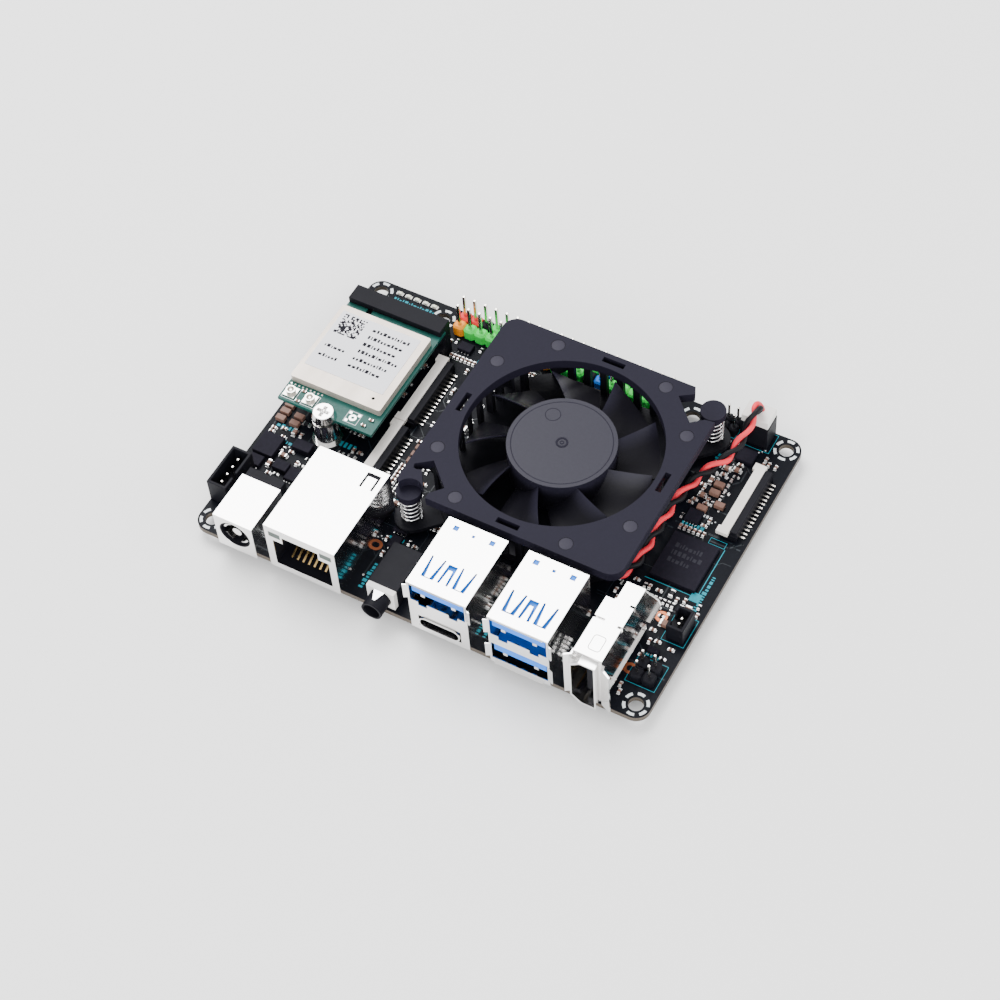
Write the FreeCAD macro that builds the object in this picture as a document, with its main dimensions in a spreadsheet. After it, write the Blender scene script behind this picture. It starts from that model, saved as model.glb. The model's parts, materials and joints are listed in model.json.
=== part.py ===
"""Single board computer with a fan-cooled heatsink, as an assembly of its separate pieces.

Lengths are millimetres. Positions in the formulas are measured from the front left corner of the
board's top face: X to the right along the connector edge, Y towards the pin header, Z up. The part's
own origin is the centre of the board on its underside, so every placement is shifted by that much.
"""
import FreeCAD, Part
import math
import os
import re
from types import SimpleNamespace

import Sketcher
from FreeCAD import Placement, Rotation, Vector

DIMENSIONS = {
    # board
    "board_length": 100.0, "board_width": 72.0, "board_thickness": 1.2, "board_corner": 3.0,
    "hole_inset": 3.0, "hole_radius": 1.5, "inner_hole_left": 18.6, "inner_hole_pitch": 58.0,
    "inner_hole_back": 68.2,
    # pin header, 2 x 20
    "header_first": 23.46, "header_pitch": 2.54, "header_centre": 68.2, "header_pin_top": 8.5,
    "header_pin_width": 0.64, "header_pin_tail": 1.4, "header_bore": 0.5,
    # processor and cooler
    "fan_centre_across": 61.15, "fan_centre_back": 42.0, "chip_side": 21.0, "chip_height": 1.0,
    "pad_side": 15.0, "pad_height": 0.3, "sink_base_height": 2.0, "sink_length": 42.4,
    "sink_width": 43.6, "sink_top": 11.4, "sink_cavity": 20.6, "fin_pitch": 3.7, "fin_thickness": 1.0,
    "cross_cut": 2.2,
    "ear_height": 1.0, "ear_radius": 3.6, "boss_radius": 2.2, "boss_height": 4.0,
    "sink_round_radius": 25.5, "ear_reach": 8.0,
    "cover_length": 48.8, "cover_width": 47.4, "cover_thickness": 2.2, "cover_corner": 3.0,
    "cover_opening": 20.15, "slot_length": 4.8, "slot_width": 1.2, "slot_reach": 21.9,
    "notch_bite_across": 20.85, "notch_bite_back": 23.5, "notch_bite_radius": 2.75,
    "rivet_radius": 1.4, "rivet_bore": 1.45, "rivet_depth": 2.5, "rivet_near": 12.0, "rivet_far": 21.0,
    # fan
    "hub_radius": 10.9, "hub_top": 13.3, "hub_bottom": 6.0, "hub_wall": 0.9, "hub_roof": 1.0,
    "blade_tip": 19.0, "blade_top": 12.4, "blade_bottom": 6.4, "shaft_radius": 0.75,
    "bearing_outer": 1.7, "bearing_clearance": 0.03, "motor_base_radius": 9.6, "motor_floor": 0.8,
    "tube_radius": 2.4, "stator_radius": 7.6, "magnet_inner": 8.2, "magnet_height": 5.0,
    # spring loaded push pins
    "pin_across": 22.0, "pin_back": 21.85, "pin_head_radius": 2.6, "pin_head_top": 11.0,
    "pin_head_height": 1.6, "pin_shank_radius": 1.35, "pin_bore": 1.6, "pin_travel": 1.2,
    "barb_radius": 1.95, "barb_length": 2.2, "spring_radius": 2.05, "spring_wire": 0.42,
    # wire-to-board headers, 2 mm pitch
    "wire_pitch": 2.0, "wire_header_depth": 4.5, "wire_header_height": 6.0, "wire_wall": 0.6,
    "power_header_length": 9.9, "power_header_front": 6.9,
    "fan_header_left": 87.4, "fan_header_front": 67.4, "fan_header_length": 6.0,
    "plug_top": 8.0, "lead_diameter": 2.4,
    # bare pin headers, 2 x 2
    "boot_left": 82.6, "boot_front": 67.55, "mode_left": 93.13, "mode_front": 7.18,
    "jumper_height": 1.9, "jumper_post_top": 5.6,
    # ethernet socket
    "lan_left": 19.3, "lan_width": 15.9, "lan_front": -1.0, "lan_depth": 21.2, "lan_height": 13.3,
    "sheet_metal": 0.3, "lan_mouth_width": 12.6, "lan_mouth_bottom": 1.6, "lan_mouth_height": 7.6,
    "lan_mouth_depth": 15.0, "lan_latch_width": 8.0, "lan_latch_top": 11.2, "lan_contact_pitch": 1.27,
    "lan_lamp_inner": 4.45, "lan_lamp_width": 2.6, "lan_lamp_floor": 10.3, "lan_lamp_height": 1.5,
    # barrel jack
    "jack_left": 7.3, "jack_width": 8.9, "jack_front": -1.2, "jack_shell_depth": 10.9,
    "jack_body_depth": 13.2, "jack_height": 9.5, "jack_axis": 5.2, "jack_bore": 3.15,
    "jack_pin_radius": 1.0,
    # audio socket
    "audio_left": 40.3, "audio_width": 6.3, "audio_front": 0.6, "audio_depth": 11.1,
    "audio_height": 5.0, "audio_axis": 2.5, "audio_barrel": 2.25, "audio_bore": 1.8, "audio_nose": 3.6,
    # stacked USB sockets
    "usb_left": 51.0, "usb_pair_left": 68.2, "usb_width": 12.8, "usb_front": -0.8, "usb_depth": 16.6,
    "usb_height": 15.0, "usb_mouth_width": 11.9, "usb_mouth_height": 5.1, "usb_upper": 9.5,
    "usb_lower": 1.4, "tongue_width": 11.1, "tongue_height": 2.3, "flare": 0.8,
    "type_c_width": 9.0, "type_c_height": 3.2, "type_c_floor": 1.6,
    # display socket standing on its side
    "hdmi_left": 85.6, "hdmi_width": 5.9, "hdmi_front": 0.3, "hdmi_depth": 13.6, "hdmi_top": 14.5,
    "hdmi_rear_left": 87.6, "hdmi_rear_depth": 4.2, "hdmi_bottom": 0.3,
    # radio module in its slot
    "radio_left": 2.2, "radio_width": 22.0, "radio_front": 30.4, "radio_length": 30.0,
    "radio_floor": 6.6, "radio_thickness": 0.8, "shield_height": 1.7, "slot_front": 58.4,
    "slot_depth": 3.9, "slot_top": 9.0, "slot_clearance": 0.04, "standoff_radius": 2.5,
    "screw_across": 13.2, "screw_head_radius": 2.6, "screw_head_height": 1.6, "screw_radius": 1.2,
    # flat-cable sockets
    "ribbon_length": 18.3, "ribbon_height": 2.5, "ribbon_pitch": 1.0, "latch_travel": 1.3,
    "camera_upper_front": 39.7, "camera_lower_front": 21.2, "camera_left": 23.5,
    "display_front": 43.6, "display_left": 93.5,
    # memory
    "memory_left": 86.2, "memory_width": 9.6, "memory_front": 29.9, "memory_length": 11.2,
    "memory_height": 1.0, "solder_tail": 1.1,
}

doc = FreeCAD.newDocument("single_board_computer")
sheet = doc.addObject("Spreadsheet::Sheet", "Dims")
for row, (alias, length) in enumerate(DIMENSIONS.items(), start=1):
    sheet.set(f"A{row}", alias.replace("_", " "))
    sheet.set(f"B{row}", str(length))
    sheet.setAlias(f"B{row}", alias)
doc.recompute()
size = SimpleNamespace(**{alias: float(sheet.get(alias)) for alias in DIMENSIONS})
subparts = []


# ---------------------------------------------------------------- helpers

def formula(text):
    """Point every dimension named in a formula at its cell."""
    return re.sub(r"[a-z]\w*", lambda word: "Dims." + word.group(), str(text))


def bind(item, **formulas):
    for name, text in formulas.items():
        item.setExpression(name, formula(text))


def place(item, spot, rotation=None):
    """Put an item at a spot measured from the board's corner, in the part's own frame."""
    if rotation:
        item.Placement = Placement(Vector(), rotation)
    shifts = ("- board_length / 2", "- board_width / 2", "+ board_thickness")
    for axis, along, shift in zip("xyz", spot, shifts):
        item.setExpression("Placement.Base." + axis, formula(f"{along} {shift}"))
    return item


def box(name, spot, sides):
    item = doc.addObject("Part::Box", name)
    bind(item, Length=sides[0], Width=sides[1], Height=sides[2])
    return place(item, spot)


# Sketches stood on edge: SIDEWAYS extrudes along +X and shows Y and Z, UPRIGHT along -Y and X and Z.
SIDEWAYS = Rotation(Vector(0, 1, 0), Vector(0, 0, 1), Vector(1, 0, 0), "XYZ")
UPRIGHT = Rotation(Vector(1, 0, 0), Vector(0, 0, 1), Vector(0, -1, 0), "XYZ")
AXES = {"x": Rotation(Vector(0, 1, 0), 90), "y": Rotation(Vector(1, 0, 0), -90), "z": Rotation()}


def cylinder(name, spot, radius, height, axis="z"):
    item = doc.addObject("Part::Cylinder", name)
    bind(item, Radius=radius, Height=height)
    return place(item, spot, AXES[axis])


def cone(name, spot, lower, upper, height, axis="z"):
    item = doc.addObject("Part::Cone", name)
    bind(item, Radius1=lower, Radius2=upper, Height=height)
    return place(item, spot, AXES[axis])


def prism(name, points, spot, height, rotation=None):
    """A straight-sided solid on an outline drawn in a sketch."""
    sketch = doc.addObject("Sketcher::SketchObject", name + "_outline")
    corners = [Vector(x, y, 0) for x, y in points]
    for start, end in zip(corners, corners[1:] + corners[:1]):
        sketch.addGeometry(Part.LineSegment(start, end))
    place(sketch, spot, rotation)
    item = doc.addObject("Part::Extrusion", name)
    item.Base = sketch
    item.DirMode = "Normal"
    item.Solid = True
    bind(item, LengthFwd=height)
    return item


def fuse(name, items):
    item = doc.addObject("Part::MultiFuse", name)
    item.Shapes = list(items)
    item.Refine = True
    return item


def group(name, items):
    item = doc.addObject("Part::Compound", name)
    item.Links = list(items)
    return item


def cut(name, base, tools):
    tools = list(tools)
    item = doc.addObject("Part::Cut", name)
    item.Base = base
    item.Tool = tools[0] if len(tools) == 1 else fuse(name + "_tools", tools)
    return item


def rounded(name, base, radius, along="z"):
    """Round a box's four edges that run along one axis."""
    doc.recompute()
    item = doc.addObject("Part::Fillet", name)
    item.Base = base
    index = "xyz".index(along)
    chosen = []
    for number, edge in enumerate(base.Shape.Edges, start=1):
        ends = [vertex.Point for vertex in edge.Vertexes]
        if len(ends) == 2 and abs((ends[1] - ends[0])[index]) > 0.999 * (ends[1] - ends[0]).Length:
            chosen.append((number, radius, radius))
    item.Edges = chosen
    return item


def solid_feature(name, shape):
    """A free-form solid worked out with Part's functions in the part's own frame."""
    item = doc.addObject("Part::Feature", name)
    item.Shape = shape
    return item


def subpart(item, label):
    item.Label = label
    subparts.append(item)
    return item


def shifted(x, y, z):
    """The same spot as place() gives, as a vector."""
    return Vector(x - size.board_length / 2, y - size.board_width / 2, z + size.board_thickness)


# ---------------------------------------------------------------- board

def plane_sketch(body, name, height=0):
    sketch = body.newObject("Sketcher::SketchObject", name)
    flat = next(item for item in body.Origin.OriginFeatures if item.Role == "XY_Plane")
    sketch.AttachmentSupport = (flat, [""])
    sketch.MapMode = "FlatFace"
    sketch.setExpression("AttachmentOffset.Base.z", formula(height))
    return sketch


def driven_rectangle(sketch, width, depth):
    """A rectangle with one corner at the sketch's origin and both sides driven by the sheet."""
    corners = [Vector(0, 0, 0), Vector(10, 0, 0), Vector(10, 10, 0), Vector(0, 10, 0)]
    for start, end in zip(corners, corners[1:] + corners[:1]):
        sketch.addGeometry(Part.LineSegment(start, end))
    for line in range(4):
        sketch.addConstraint(Sketcher.Constraint("Coincident", line, 2, (line + 1) % 4, 1))
    for line, kind in enumerate(("Horizontal", "Vertical", "Horizontal", "Vertical")):
        sketch.addConstraint(Sketcher.Constraint(kind, line))
    sketch.addConstraint(Sketcher.Constraint("Coincident", 0, 1, -1, 1))
    for name, line, axis, text in (("width", 0, "DistanceX", width), ("depth", 1, "DistanceY", depth)):
        number = sketch.addConstraint(Sketcher.Constraint(axis, line, 1, line, 2, 10.0))
        sketch.renameConstraint(number, name)
        sketch.setExpression("Constraints." + name, formula(text))


def driven_circle(sketch, name, x, y, radius):
    """A circle whose place and radius are driven by the sheet."""
    circle = sketch.addGeometry(Part.Circle(Vector(5, 5, 0), Vector(0, 0, 1), 1.0))
    for kind, axis, text in (("across", "DistanceX", x), ("back", "DistanceY", y)):
        number = sketch.addConstraint(Sketcher.Constraint(axis, -1, 1, circle, 3, 5.0))
        sketch.renameConstraint(number, f"{name}_{kind}")
        sketch.setExpression(f"Constraints.{name}_{kind}", formula(text))
    number = sketch.addConstraint(Sketcher.Constraint("Radius", circle, 1.0))
    sketch.renameConstraint(number, f"{name}_radius")
    sketch.setExpression(f"Constraints.{name}_radius", formula(radius))


def push_pin_spots():
    """Front left and back right, mirrored through the fan's axis."""
    return {
        "front": ("fan_centre_across - pin_across", "fan_centre_back - pin_back"),
        "rear": ("fan_centre_across + pin_across", "fan_centre_back + pin_back"),
    }


def header_spots():
    """Column number and formulas of the 40 pins of the main header."""
    for column in range(20):
        for line, side in enumerate(("- header_pitch / 2", "+ header_pitch / 2")):
            yield column, line, f"header_first + header_pitch * {column}", "header_centre " + side


def make_board():
    body = doc.addObject("PartDesign::Body", "board_body")
    place(body, (0, 0, "- board_thickness"))
    outline = plane_sketch(body, "board_outline")
    driven_rectangle(outline, "board_length", "board_width")
    pad = body.newObject("PartDesign::Pad", "board_pad")
    pad.Profile = outline
    bind(pad, Length="board_thickness")
    doc.recompute()
    upright = [f"Edge{number}" for number, edge in enumerate(pad.Shape.Edges, start=1)
               if abs(edge.Vertexes[0].Z - edge.Vertexes[-1].Z) > size.board_thickness / 2]
    fillet = body.newObject("PartDesign::Fillet", "board_corners")
    fillet.Base = (pad, upright)
    bind(fillet, Radius="board_corner")
    holes = plane_sketch(body, "board_holes")
    spots = [(x, y) for x in ("hole_inset", "board_length - hole_inset")
             for y in ("hole_inset", "board_width - hole_inset")]
    spots += [("inner_hole_left", "inner_hole_back"),
              ("inner_hole_left + inner_hole_pitch", "inner_hole_back")]
    for number, (x, y) in enumerate(spots):
        driven_circle(holes, f"fixing{number}", x, y, "hole_radius")
    for side, (x, y) in push_pin_spots().items():
        driven_circle(holes, side, x, y, "pin_bore")
    pocket = body.newObject("PartDesign::Pocket", "board_pocket")
    pocket.Profile = holes
    pocket.Type = 1
    pocket.Midplane = True
    doc.recompute()
    bores = [cylinder(f"pin_bore_{column}_{line}", (x, y, "- board_thickness - 1"), "header_bore",
                      "board_thickness + 2") for column, line, x, y in header_spots()]
    subpart(cut("board", body, bores), "main_board")


# ---------------------------------------------------------------- main pin header

# One coloured block per pin: power, ground, data and identity lines.
NEAR_ROW = "OGGGKGGGOGGGKBGGGGGK"
FAR_ROW = "RRKGGGKGGKGGGBKGKGGG"
BLOCK_NAMES = {"O": "gpio_blocks_orange", "R": "gpio_blocks_red", "K": "gpio_blocks_black",
               "G": "gpio_blocks_green", "B": "gpio_blocks_blue"}


def make_pin_header():
    blocks = {letter: [] for letter in BLOCK_NAMES}
    pins = []
    for column, line, x, y in header_spots():
        letter = (NEAR_ROW, FAR_ROW)[line][column]
        stem = f"{column}_{line}"
        half = "header_pitch / 2"
        block = box("block_" + stem, (f"{x} - {half}", f"{y} - {half}", 0), ("header_pitch",) * 3)
        bore = box("block_bore_" + stem, (f"{x} - header_pin_width / 2", f"{y} - header_pin_width / 2", -1),
                   ("header_pin_width", "header_pin_width", "header_pitch + 2"))
        blocks[letter].append(cut("pierced_" + stem, block, [bore]))
        pins.append(box("pin_" + stem, (f"{x} - header_pin_width / 2", f"{y} - header_pin_width / 2",
                                        "- board_thickness - header_pin_tail"),
                        ("header_pin_width", "header_pin_width",
                         "board_thickness + header_pin_tail + header_pin_top")))
    for letter, label in BLOCK_NAMES.items():
        subpart(group("blocks_" + letter, blocks[letter]), label)
    subpart(group("header_pins_group", pins), "gpio_pins")


# ---------------------------------------------------------------- cooler

def rivet_spots():
    """Eight rivets, two near each side's middle line, symmetric about the fan's axis."""
    for sx in (-1, 1):
        for sy in (-1, 1):
            yield f"fan_centre_across + {sx} * rivet_near", f"fan_centre_back + {sy} * rivet_far"
            yield f"fan_centre_across + {sx} * rivet_far", f"fan_centre_back + {sy} * rivet_near"


SINK_FLOOR = "chip_height + pad_height"
SINK_BASE_TOP = "chip_height + pad_height + sink_base_height"


def make_processor():
    half = "chip_side / 2"
    subpart(box("processor", (f"fan_centre_across - {half}", f"fan_centre_back - {half}", 0),
                ("chip_side", "chip_side", "chip_height")), "processor_chip")
    half = "pad_side / 2"
    subpart(box("pad", (f"fan_centre_across - {half}", f"fan_centre_back - {half}", "chip_height"),
                ("pad_side", "pad_side", "pad_height")), "thermal_pad")


def make_heatsink():
    left = "fan_centre_across - sink_length / 2"
    front = "fan_centre_back - sink_width / 2"
    rise = f"sink_top - ({SINK_BASE_TOP})"
    pieces = [box("sink_base", (left, front, SINK_FLOOR),
                  ("sink_length", "sink_width", "sink_base_height"))]
    rows = [f"fan_centre_back + {line} * fin_pitch - fin_thickness / 2" for line in range(-4, 5)]
    rows += [front, "fan_centre_back + sink_width / 2 - fin_thickness"]
    for number, y in enumerate(rows):
        pieces.append(box(f"fin_{number}", (left, y, SINK_BASE_TOP), ("sink_length", "fin_thickness", rise)))
    crossings = [box(f"cross_cut_{line}", (f"fan_centre_across + {line} * fin_pitch - cross_cut / 2",
                                           "fan_centre_back - sink_width", SINK_BASE_TOP),
                     ("cross_cut", "2 * sink_width", rise + " + 1")) for line in range(-5, 6)]
    block = doc.addObject("Part::MultiCommon", "sink_round_corners")
    block.Shapes = [fuse("sink_block", pieces),
                    cylinder("sink_round", ("fan_centre_across", "fan_centre_back", 0), "sink_round_radius",
                             "sink_top + 5")]
    cavity = cylinder("sink_cavity_tool", ("fan_centre_across", "fan_centre_back", SINK_BASE_TOP),
                      "sink_cavity", "sink_top + 1")
    body = cut("sink_hollow", block, [cavity] + crossings)
    additions = []
    bores = []
    for number, (x, y) in enumerate(rivet_spots()):
        additions.append(cylinder(f"boss_{number}", (x, y, "sink_top - boss_height"), "boss_radius",
                                  "boss_height"))
        bores.append(cylinder(f"rivet_bore_{number}", (x, y, "sink_top - rivet_depth"), "rivet_bore",
                              "rivet_depth + 1"))
    for (side, (x, y)), turn in zip(push_pin_spots().items(), (45, 225)):
        heading = Rotation(Vector(0, 0, 1), turn)
        corner = heading.multVec(Vector(0, -size.ear_radius, 0))
        additions.append(cylinder(f"ear_{side}", (x, y, SINK_FLOOR), "ear_radius", "ear_height"))
        arm = doc.addObject("Part::Box", f"arm_{side}")
        bind(arm, Length="ear_reach", Width="ear_radius * 2", Height="ear_height")
        place(arm, (f"{x} + {corner.x:.4f}", f"{y} + {corner.y:.4f}", SINK_FLOOR), heading)
        additions.append(arm)
        bores.append(cylinder(f"ear_bore_{side}", (x, y, SINK_FLOOR + " - 1"), "pin_bore",
                              "ear_height + 2"))
    whole = fuse("sink_whole", [body] + additions)
    subpart(cut("heatsink_solid", whole, bores), "heatsink")


# What is cut from the cover beside each push pin, measured from the fan's axis. The front one leaves
# a narrow finger on its left; the rear one takes the whole corner.
FRONT_NOTCH = [(-23.0, -17.5), (-20.0, -15.2), (-14.9, -20.0), (-17.1, -22.4), (-17.1, -24.6),
               (-19.0, -24.6), (-18.3, -22.3), (-21.0, -18.1), (-22.0, -18.5), (-22.7, -18.4)]
REAR_NOTCH = [(17.2, 24.6), (17.2, 23.7), (17.9, 22.0), (15.2, 20.2), (20.0, 15.2), (22.4, 17.2),
              (25.6, 17.6), (25.6, 24.6)]


def make_cover():
    left = "fan_centre_across - cover_length / 2"
    front = "fan_centre_back - cover_width / 2"
    plate = box("cover_plate", (left, front, "sink_top"),
                ("cover_length", "cover_width", "cover_thickness"))
    plate = rounded("cover_rounded", plate, size.cover_corner)
    low = "sink_top - 1"
    deep = "cover_thickness + 2"
    tools = [cylinder("cover_opening_tool", ("fan_centre_across", "fan_centre_back", low),
                      "cover_opening", deep)]
    for number, (x, y) in enumerate(rivet_spots()):
        tools.append(cylinder(f"cover_bore_{number}", (x, y, low), "rivet_bore", deep))
    for number, (sx, sy) in enumerate(((1, 0), (-1, 0), (0, 1), (0, -1))):
        sides = ("slot_width", "slot_length") if sx else ("slot_length", "slot_width")
        x = f"fan_centre_across + {sx} * slot_reach - {sides[0]} / 2"
        y = f"fan_centre_back + {sy} * slot_reach - {sides[1]} / 2"
        tools.append(box(f"cover_slot_{number}", (x, y, low), (*sides, deep)))
    for name, outline in (("front", FRONT_NOTCH), ("rear", REAR_NOTCH)):
        tools.append(prism(f"notch_{name}", outline, ("fan_centre_across", "fan_centre_back", low), deep))
    tools.append(cylinder("notch_bite", ("fan_centre_across - notch_bite_across",
                                         "fan_centre_back - notch_bite_back", low),
                          "notch_bite_radius", deep))
    subpart(cut("cover", plate, tools), "fan_cover")
    rivets = []
    for number, (x, y) in enumerate(rivet_spots()):
        rivets.append(cylinder(f"rivet_{number}", (x, y, "sink_top - rivet_depth + 0.1"), "rivet_radius",
                               "rivet_depth + cover_thickness - 0.2"))
    subpart(group("rivets", rivets), "cover_rivets")


# ---------------------------------------------------------------- fan

def lofted_blade(number):
    """One blade: thin curved sections at four radii, swept forward and twisted towards the tip."""
    sections = []
    for share in (0.0, 0.35, 0.7, 1.0):
        radius = size.hub_radius - 0.6 + share * (size.blade_tip - size.hub_radius + 0.6)
        lead = math.radians(40.0 * number - 6.5 + 12.0 * share ** 0.8)
        span = math.radians(33.0 - 3.0 * share)
        top = size.blade_top - 0.5 * share ** 3
        bottom = size.blade_bottom + 0.4 * share
        middle = lead - span / 2
        outward = Vector(math.cos(middle), math.sin(middle), 0)
        onward = Vector(-math.sin(middle), math.cos(middle), 0)
        upper = []
        lower = []
        for step in range(5):
            along = step / 4
            sag = 0.9 * math.sin(math.pi * along)
            height = top + (bottom - top) * along - sag
            thick = 0.35 + 0.35 * math.sin(math.pi * along)
            spot = outward * radius + onward * (radius * span * (0.5 - along)) + Vector(0, 0, height)
            upper.append(spot + Vector(0, 0, thick / 2))
            lower.append(spot - Vector(0, 0, thick / 2))
        faces = []
        for points in (upper, lower[::-1]):
            curve = Part.BSplineCurve()
            curve.interpolate(points)
            faces.append(curve.toShape())
        faces.insert(1, Part.makeLine(upper[-1], lower[-1]))
        faces.append(Part.makeLine(lower[0], upper[0]))
        sections.append(Part.Wire(faces))
    blade = Part.makeLoft(sections, True, False)
    blade.translate(shifted(size.fan_centre_across, size.fan_centre_back, 0))
    return solid_feature(f"blade_{number}", blade)


def make_fan():
    axis = ("fan_centre_across", "fan_centre_back")
    floor = f"({SINK_BASE_TOP})"
    base = fuse("motor_base_solid", [
        cylinder("motor_floor_disc", (*axis, floor), "motor_base_radius", "motor_floor"),
        cylinder("motor_tube", (*axis, floor), "tube_radius", "hub_top - hub_roof - 0.6 - " + floor)])
    base = cut("motor_base_bored", base,
               [cylinder("motor_tube_bore", (*axis, f"{floor} + 0.4"), "bearing_outer", "hub_top")])
    subpart(base, "fan_motor_base")
    ring = cut("circuit_ring", cylinder("circuit_disc", (*axis, f"{floor} + motor_floor"),
                                        "motor_base_radius - 0.3", 0.6),
               [cylinder("circuit_hole", (*axis, floor), "tube_radius + 0.05", 5)])
    subpart(ring, "fan_circuit_board")
    low = f"{floor} + motor_floor + 1.4"
    core = [cylinder("stator_core", (*axis, low), "tube_radius + 1.4", 3.6)]
    windings = []
    for pole in range(4):
        turn = Rotation(Vector(0, 0, 1), 90 * pole)
        arm = doc.addObject("Part::Box", f"stator_arm_{pole}")
        bind(arm, Length="stator_radius - tube_radius", Width=2.0, Height=3.0)
        start = turn.multVec(Vector(size.tube_radius + 0.4, -1.0, 0))
        place(arm, (f"{axis[0]} + {start.x:.4f}", f"{axis[1]} + {start.y:.4f}", low + " + 0.3"), turn)
        shoe = doc.addObject("Part::Box", f"stator_shoe_{pole}")
        bind(shoe, Length=0.8, Width=7.0, Height=3.6)
        start = turn.multVec(Vector(size.stator_radius - 1.8, -3.5, 0))
        place(shoe, (f"{axis[0]} + {start.x:.4f}", f"{axis[1]} + {start.y:.4f}", low), turn)
        core += [arm, shoe]
    core = fuse("stator_poles", core)
    core = cut("stator_solid", core, [cylinder("stator_hole", (*axis, low + " - 1"), "tube_radius + 0.05", 8)])
    round_core = doc.addObject("Part::MultiCommon", "stator_round")
    round_core.Shapes = [core, cylinder("stator_envelope", (*axis, low + " - 1"), "stator_radius", 8)]
    subpart(round_core, "fan_stator")
    bearing_low = f"{floor} + 1.4"
    sleeve = cut("bearing_sleeve", cylinder("bearing_disc", (*axis, bearing_low), "bearing_outer",
                                            f"hub_top - hub_roof - 1.0 - ({bearing_low})"),
                 [cylinder("bearing_bore", (*axis, floor), "shaft_radius + bearing_clearance", "hub_top")])
    subpart(sleeve, "fan_bearing")
    subpart(cylinder("shaft", (*axis, f"{floor} + 0.8"), "shaft_radius",
                     "hub_top - hub_roof - 0.8 - " + floor), "fan_shaft")
    hub = cut("hub_cup", cylinder("hub_disc", (*axis, "hub_bottom"), "hub_radius", "hub_top - hub_bottom"),
              [cylinder("hub_hollow", (*axis, "hub_bottom - 1"), "hub_radius - hub_wall",
                        "hub_top - hub_roof - hub_bottom + 1")])
    doc.recompute()
    blades = [lofted_blade(number) for number in range(9)]
    inside = cylinder("hub_core", (*axis, "hub_bottom - 2"), "hub_radius - 0.3", "hub_top")
    swept = doc.addObject("Part::MultiCommon", "blades_swept")
    swept.Shapes = [group("blades_all", blades), cylinder("tip_circle", (*axis, 0), "blade_tip", "hub_top")]
    blades = cut("blades_trimmed", swept, [inside])
    subpart(fuse("rotor_solid", [hub, blades]), "fan_rotor")
    magnet = cut("magnet_ring", cylinder("magnet_disc", (*axis, "hub_bottom + 0.3"), "hub_radius - hub_wall",
                                         "magnet_height"),
                 [cylinder("magnet_hole", (*axis, "hub_bottom - 1"), "magnet_inner", "magnet_height + 5")])
    subpart(magnet, "rotor_magnet")


def make_push_pins():
    head_low = "(pin_head_top - pin_head_height)"
    under = "- board_thickness - 0.05"
    for side, (x, y) in push_pin_spots().items():
        pieces = [
            cylinder(f"pin_head_{side}", (x, y, head_low), "pin_head_radius", "pin_head_height"),
            cylinder(f"pin_collar_{side}", (x, y, head_low + " - 0.8"), "pin_shank_radius", 0.9),
            cylinder(f"pin_shank_{side}", (x, y, under), "pin_shank_radius - 0.2",
                     f"{head_low} + board_thickness + 0.05"),
            cone(f"pin_barb_{side}", (x, y, under + " - barb_length"), 0.7, "barb_radius", "barb_length")]
        slit = box(f"pin_slit_{side}", (f"{x} - 0.3", f"{y} - 3", under + " - barb_length - 1"),
                   (0.6, 6, "barb_length + board_thickness + 1.5"))
        subpart(cut(f"pin_solid_{side}", fuse(f"pin_whole_{side}", pieces), [slit]), f"push_pin_{side}")
        low = size.chip_height + size.pad_height + size.ear_height + size.spring_wire / 2 + 0.02
        high = size.pin_head_top - size.pin_head_height - size.spring_wire / 2 - 0.02
        sign = -1 if side == "front" else 1
        centre = shifted(size.fan_centre_across + sign * size.pin_across,
                         size.fan_centre_back + sign * size.pin_back, low)
        coil = Part.makeHelix((high - low) / 5.5, high - low, size.spring_radius)
        profile = Part.Wire(Part.makeCircle(size.spring_wire / 2, Vector(size.spring_radius, 0, 0),
                                            Vector(0, 1, 0)))
        spring = Part.Wire(coil).makePipeShell([profile], True, True)
        spring.translate(centre)
        subpart(solid_feature(f"spring_{side}", spring), f"push_pin_spring_{side}")


# ---------------------------------------------------------------- fan lead

LEAD_ROUTE = [(67.8, 34.3, 4.6), (69.2, 29.6, 4.6), (72.6, 25.6, 4.6), (77.4, 23.6, 4.7),
              (82.2, 23.9, 4.9), (84.3, 27.6, 5.0), (84.2, 33.4, 5.0), (84.3, 38.6, 5.0),
              (84.2, 43.6, 5.0), (85.0, 48.6, 5.0), (86.0, 53.2, 5.0), (88.2, 57.0, 5.0),
              (89.2, 60.4, 4.9), (89.7, 63.4, 6.0), (90.1, 65.4, 8.0), (90.3, 66.8, 9.6),
              (90.4, 68.3, 10.7), (90.4, 69.9, 9.9), (90.4, 69.9, 8.03)]


def tube_along(points, radius):
    """Straight runs joined by tangent arcs, swept with a round section."""
    edges = []
    radii = []
    start = points[0]
    for before, corner, after in zip(points, points[1:], points[2:]):
        arriving = corner - before
        leaving = after - corner
        turn = arriving.getAngle(leaving)
        setback = 0.45 * min(arriving.Length, leaving.Length)
        radii.append(setback / math.tan(turn / 2))
        arriving.normalize()
        leaving.normalize()
        first = corner - arriving * setback
        last = corner + leaving * setback
        chord = (first + last) * 0.5 - corner
        reach = math.hypot(radii[-1], setback)
        middle = corner + chord * ((reach - radii[-1]) / chord.Length)
        edges.append(Part.makeLine(start, first))
        edges.append(Part.Arc(first, middle, last).toShape())
        start = last
    edges.append(Part.makeLine(start, points[-1]))
    path = Part.Wire(edges)
    heading = (points[1] - points[0]).normalize()
    profile = Part.Wire(Part.makeCircle(radius, points[0], heading))
    tube = path.makePipeShell([profile], True, True)
    share = tube.Volume / (math.pi * radius ** 2 * path.Length)
    print(f"lead: {path.Length:.1f} mm, volume {share:.4f} of section x length, radii",
          " ".join(f"{value:.1f}" for value in radii))
    return tube


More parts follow.
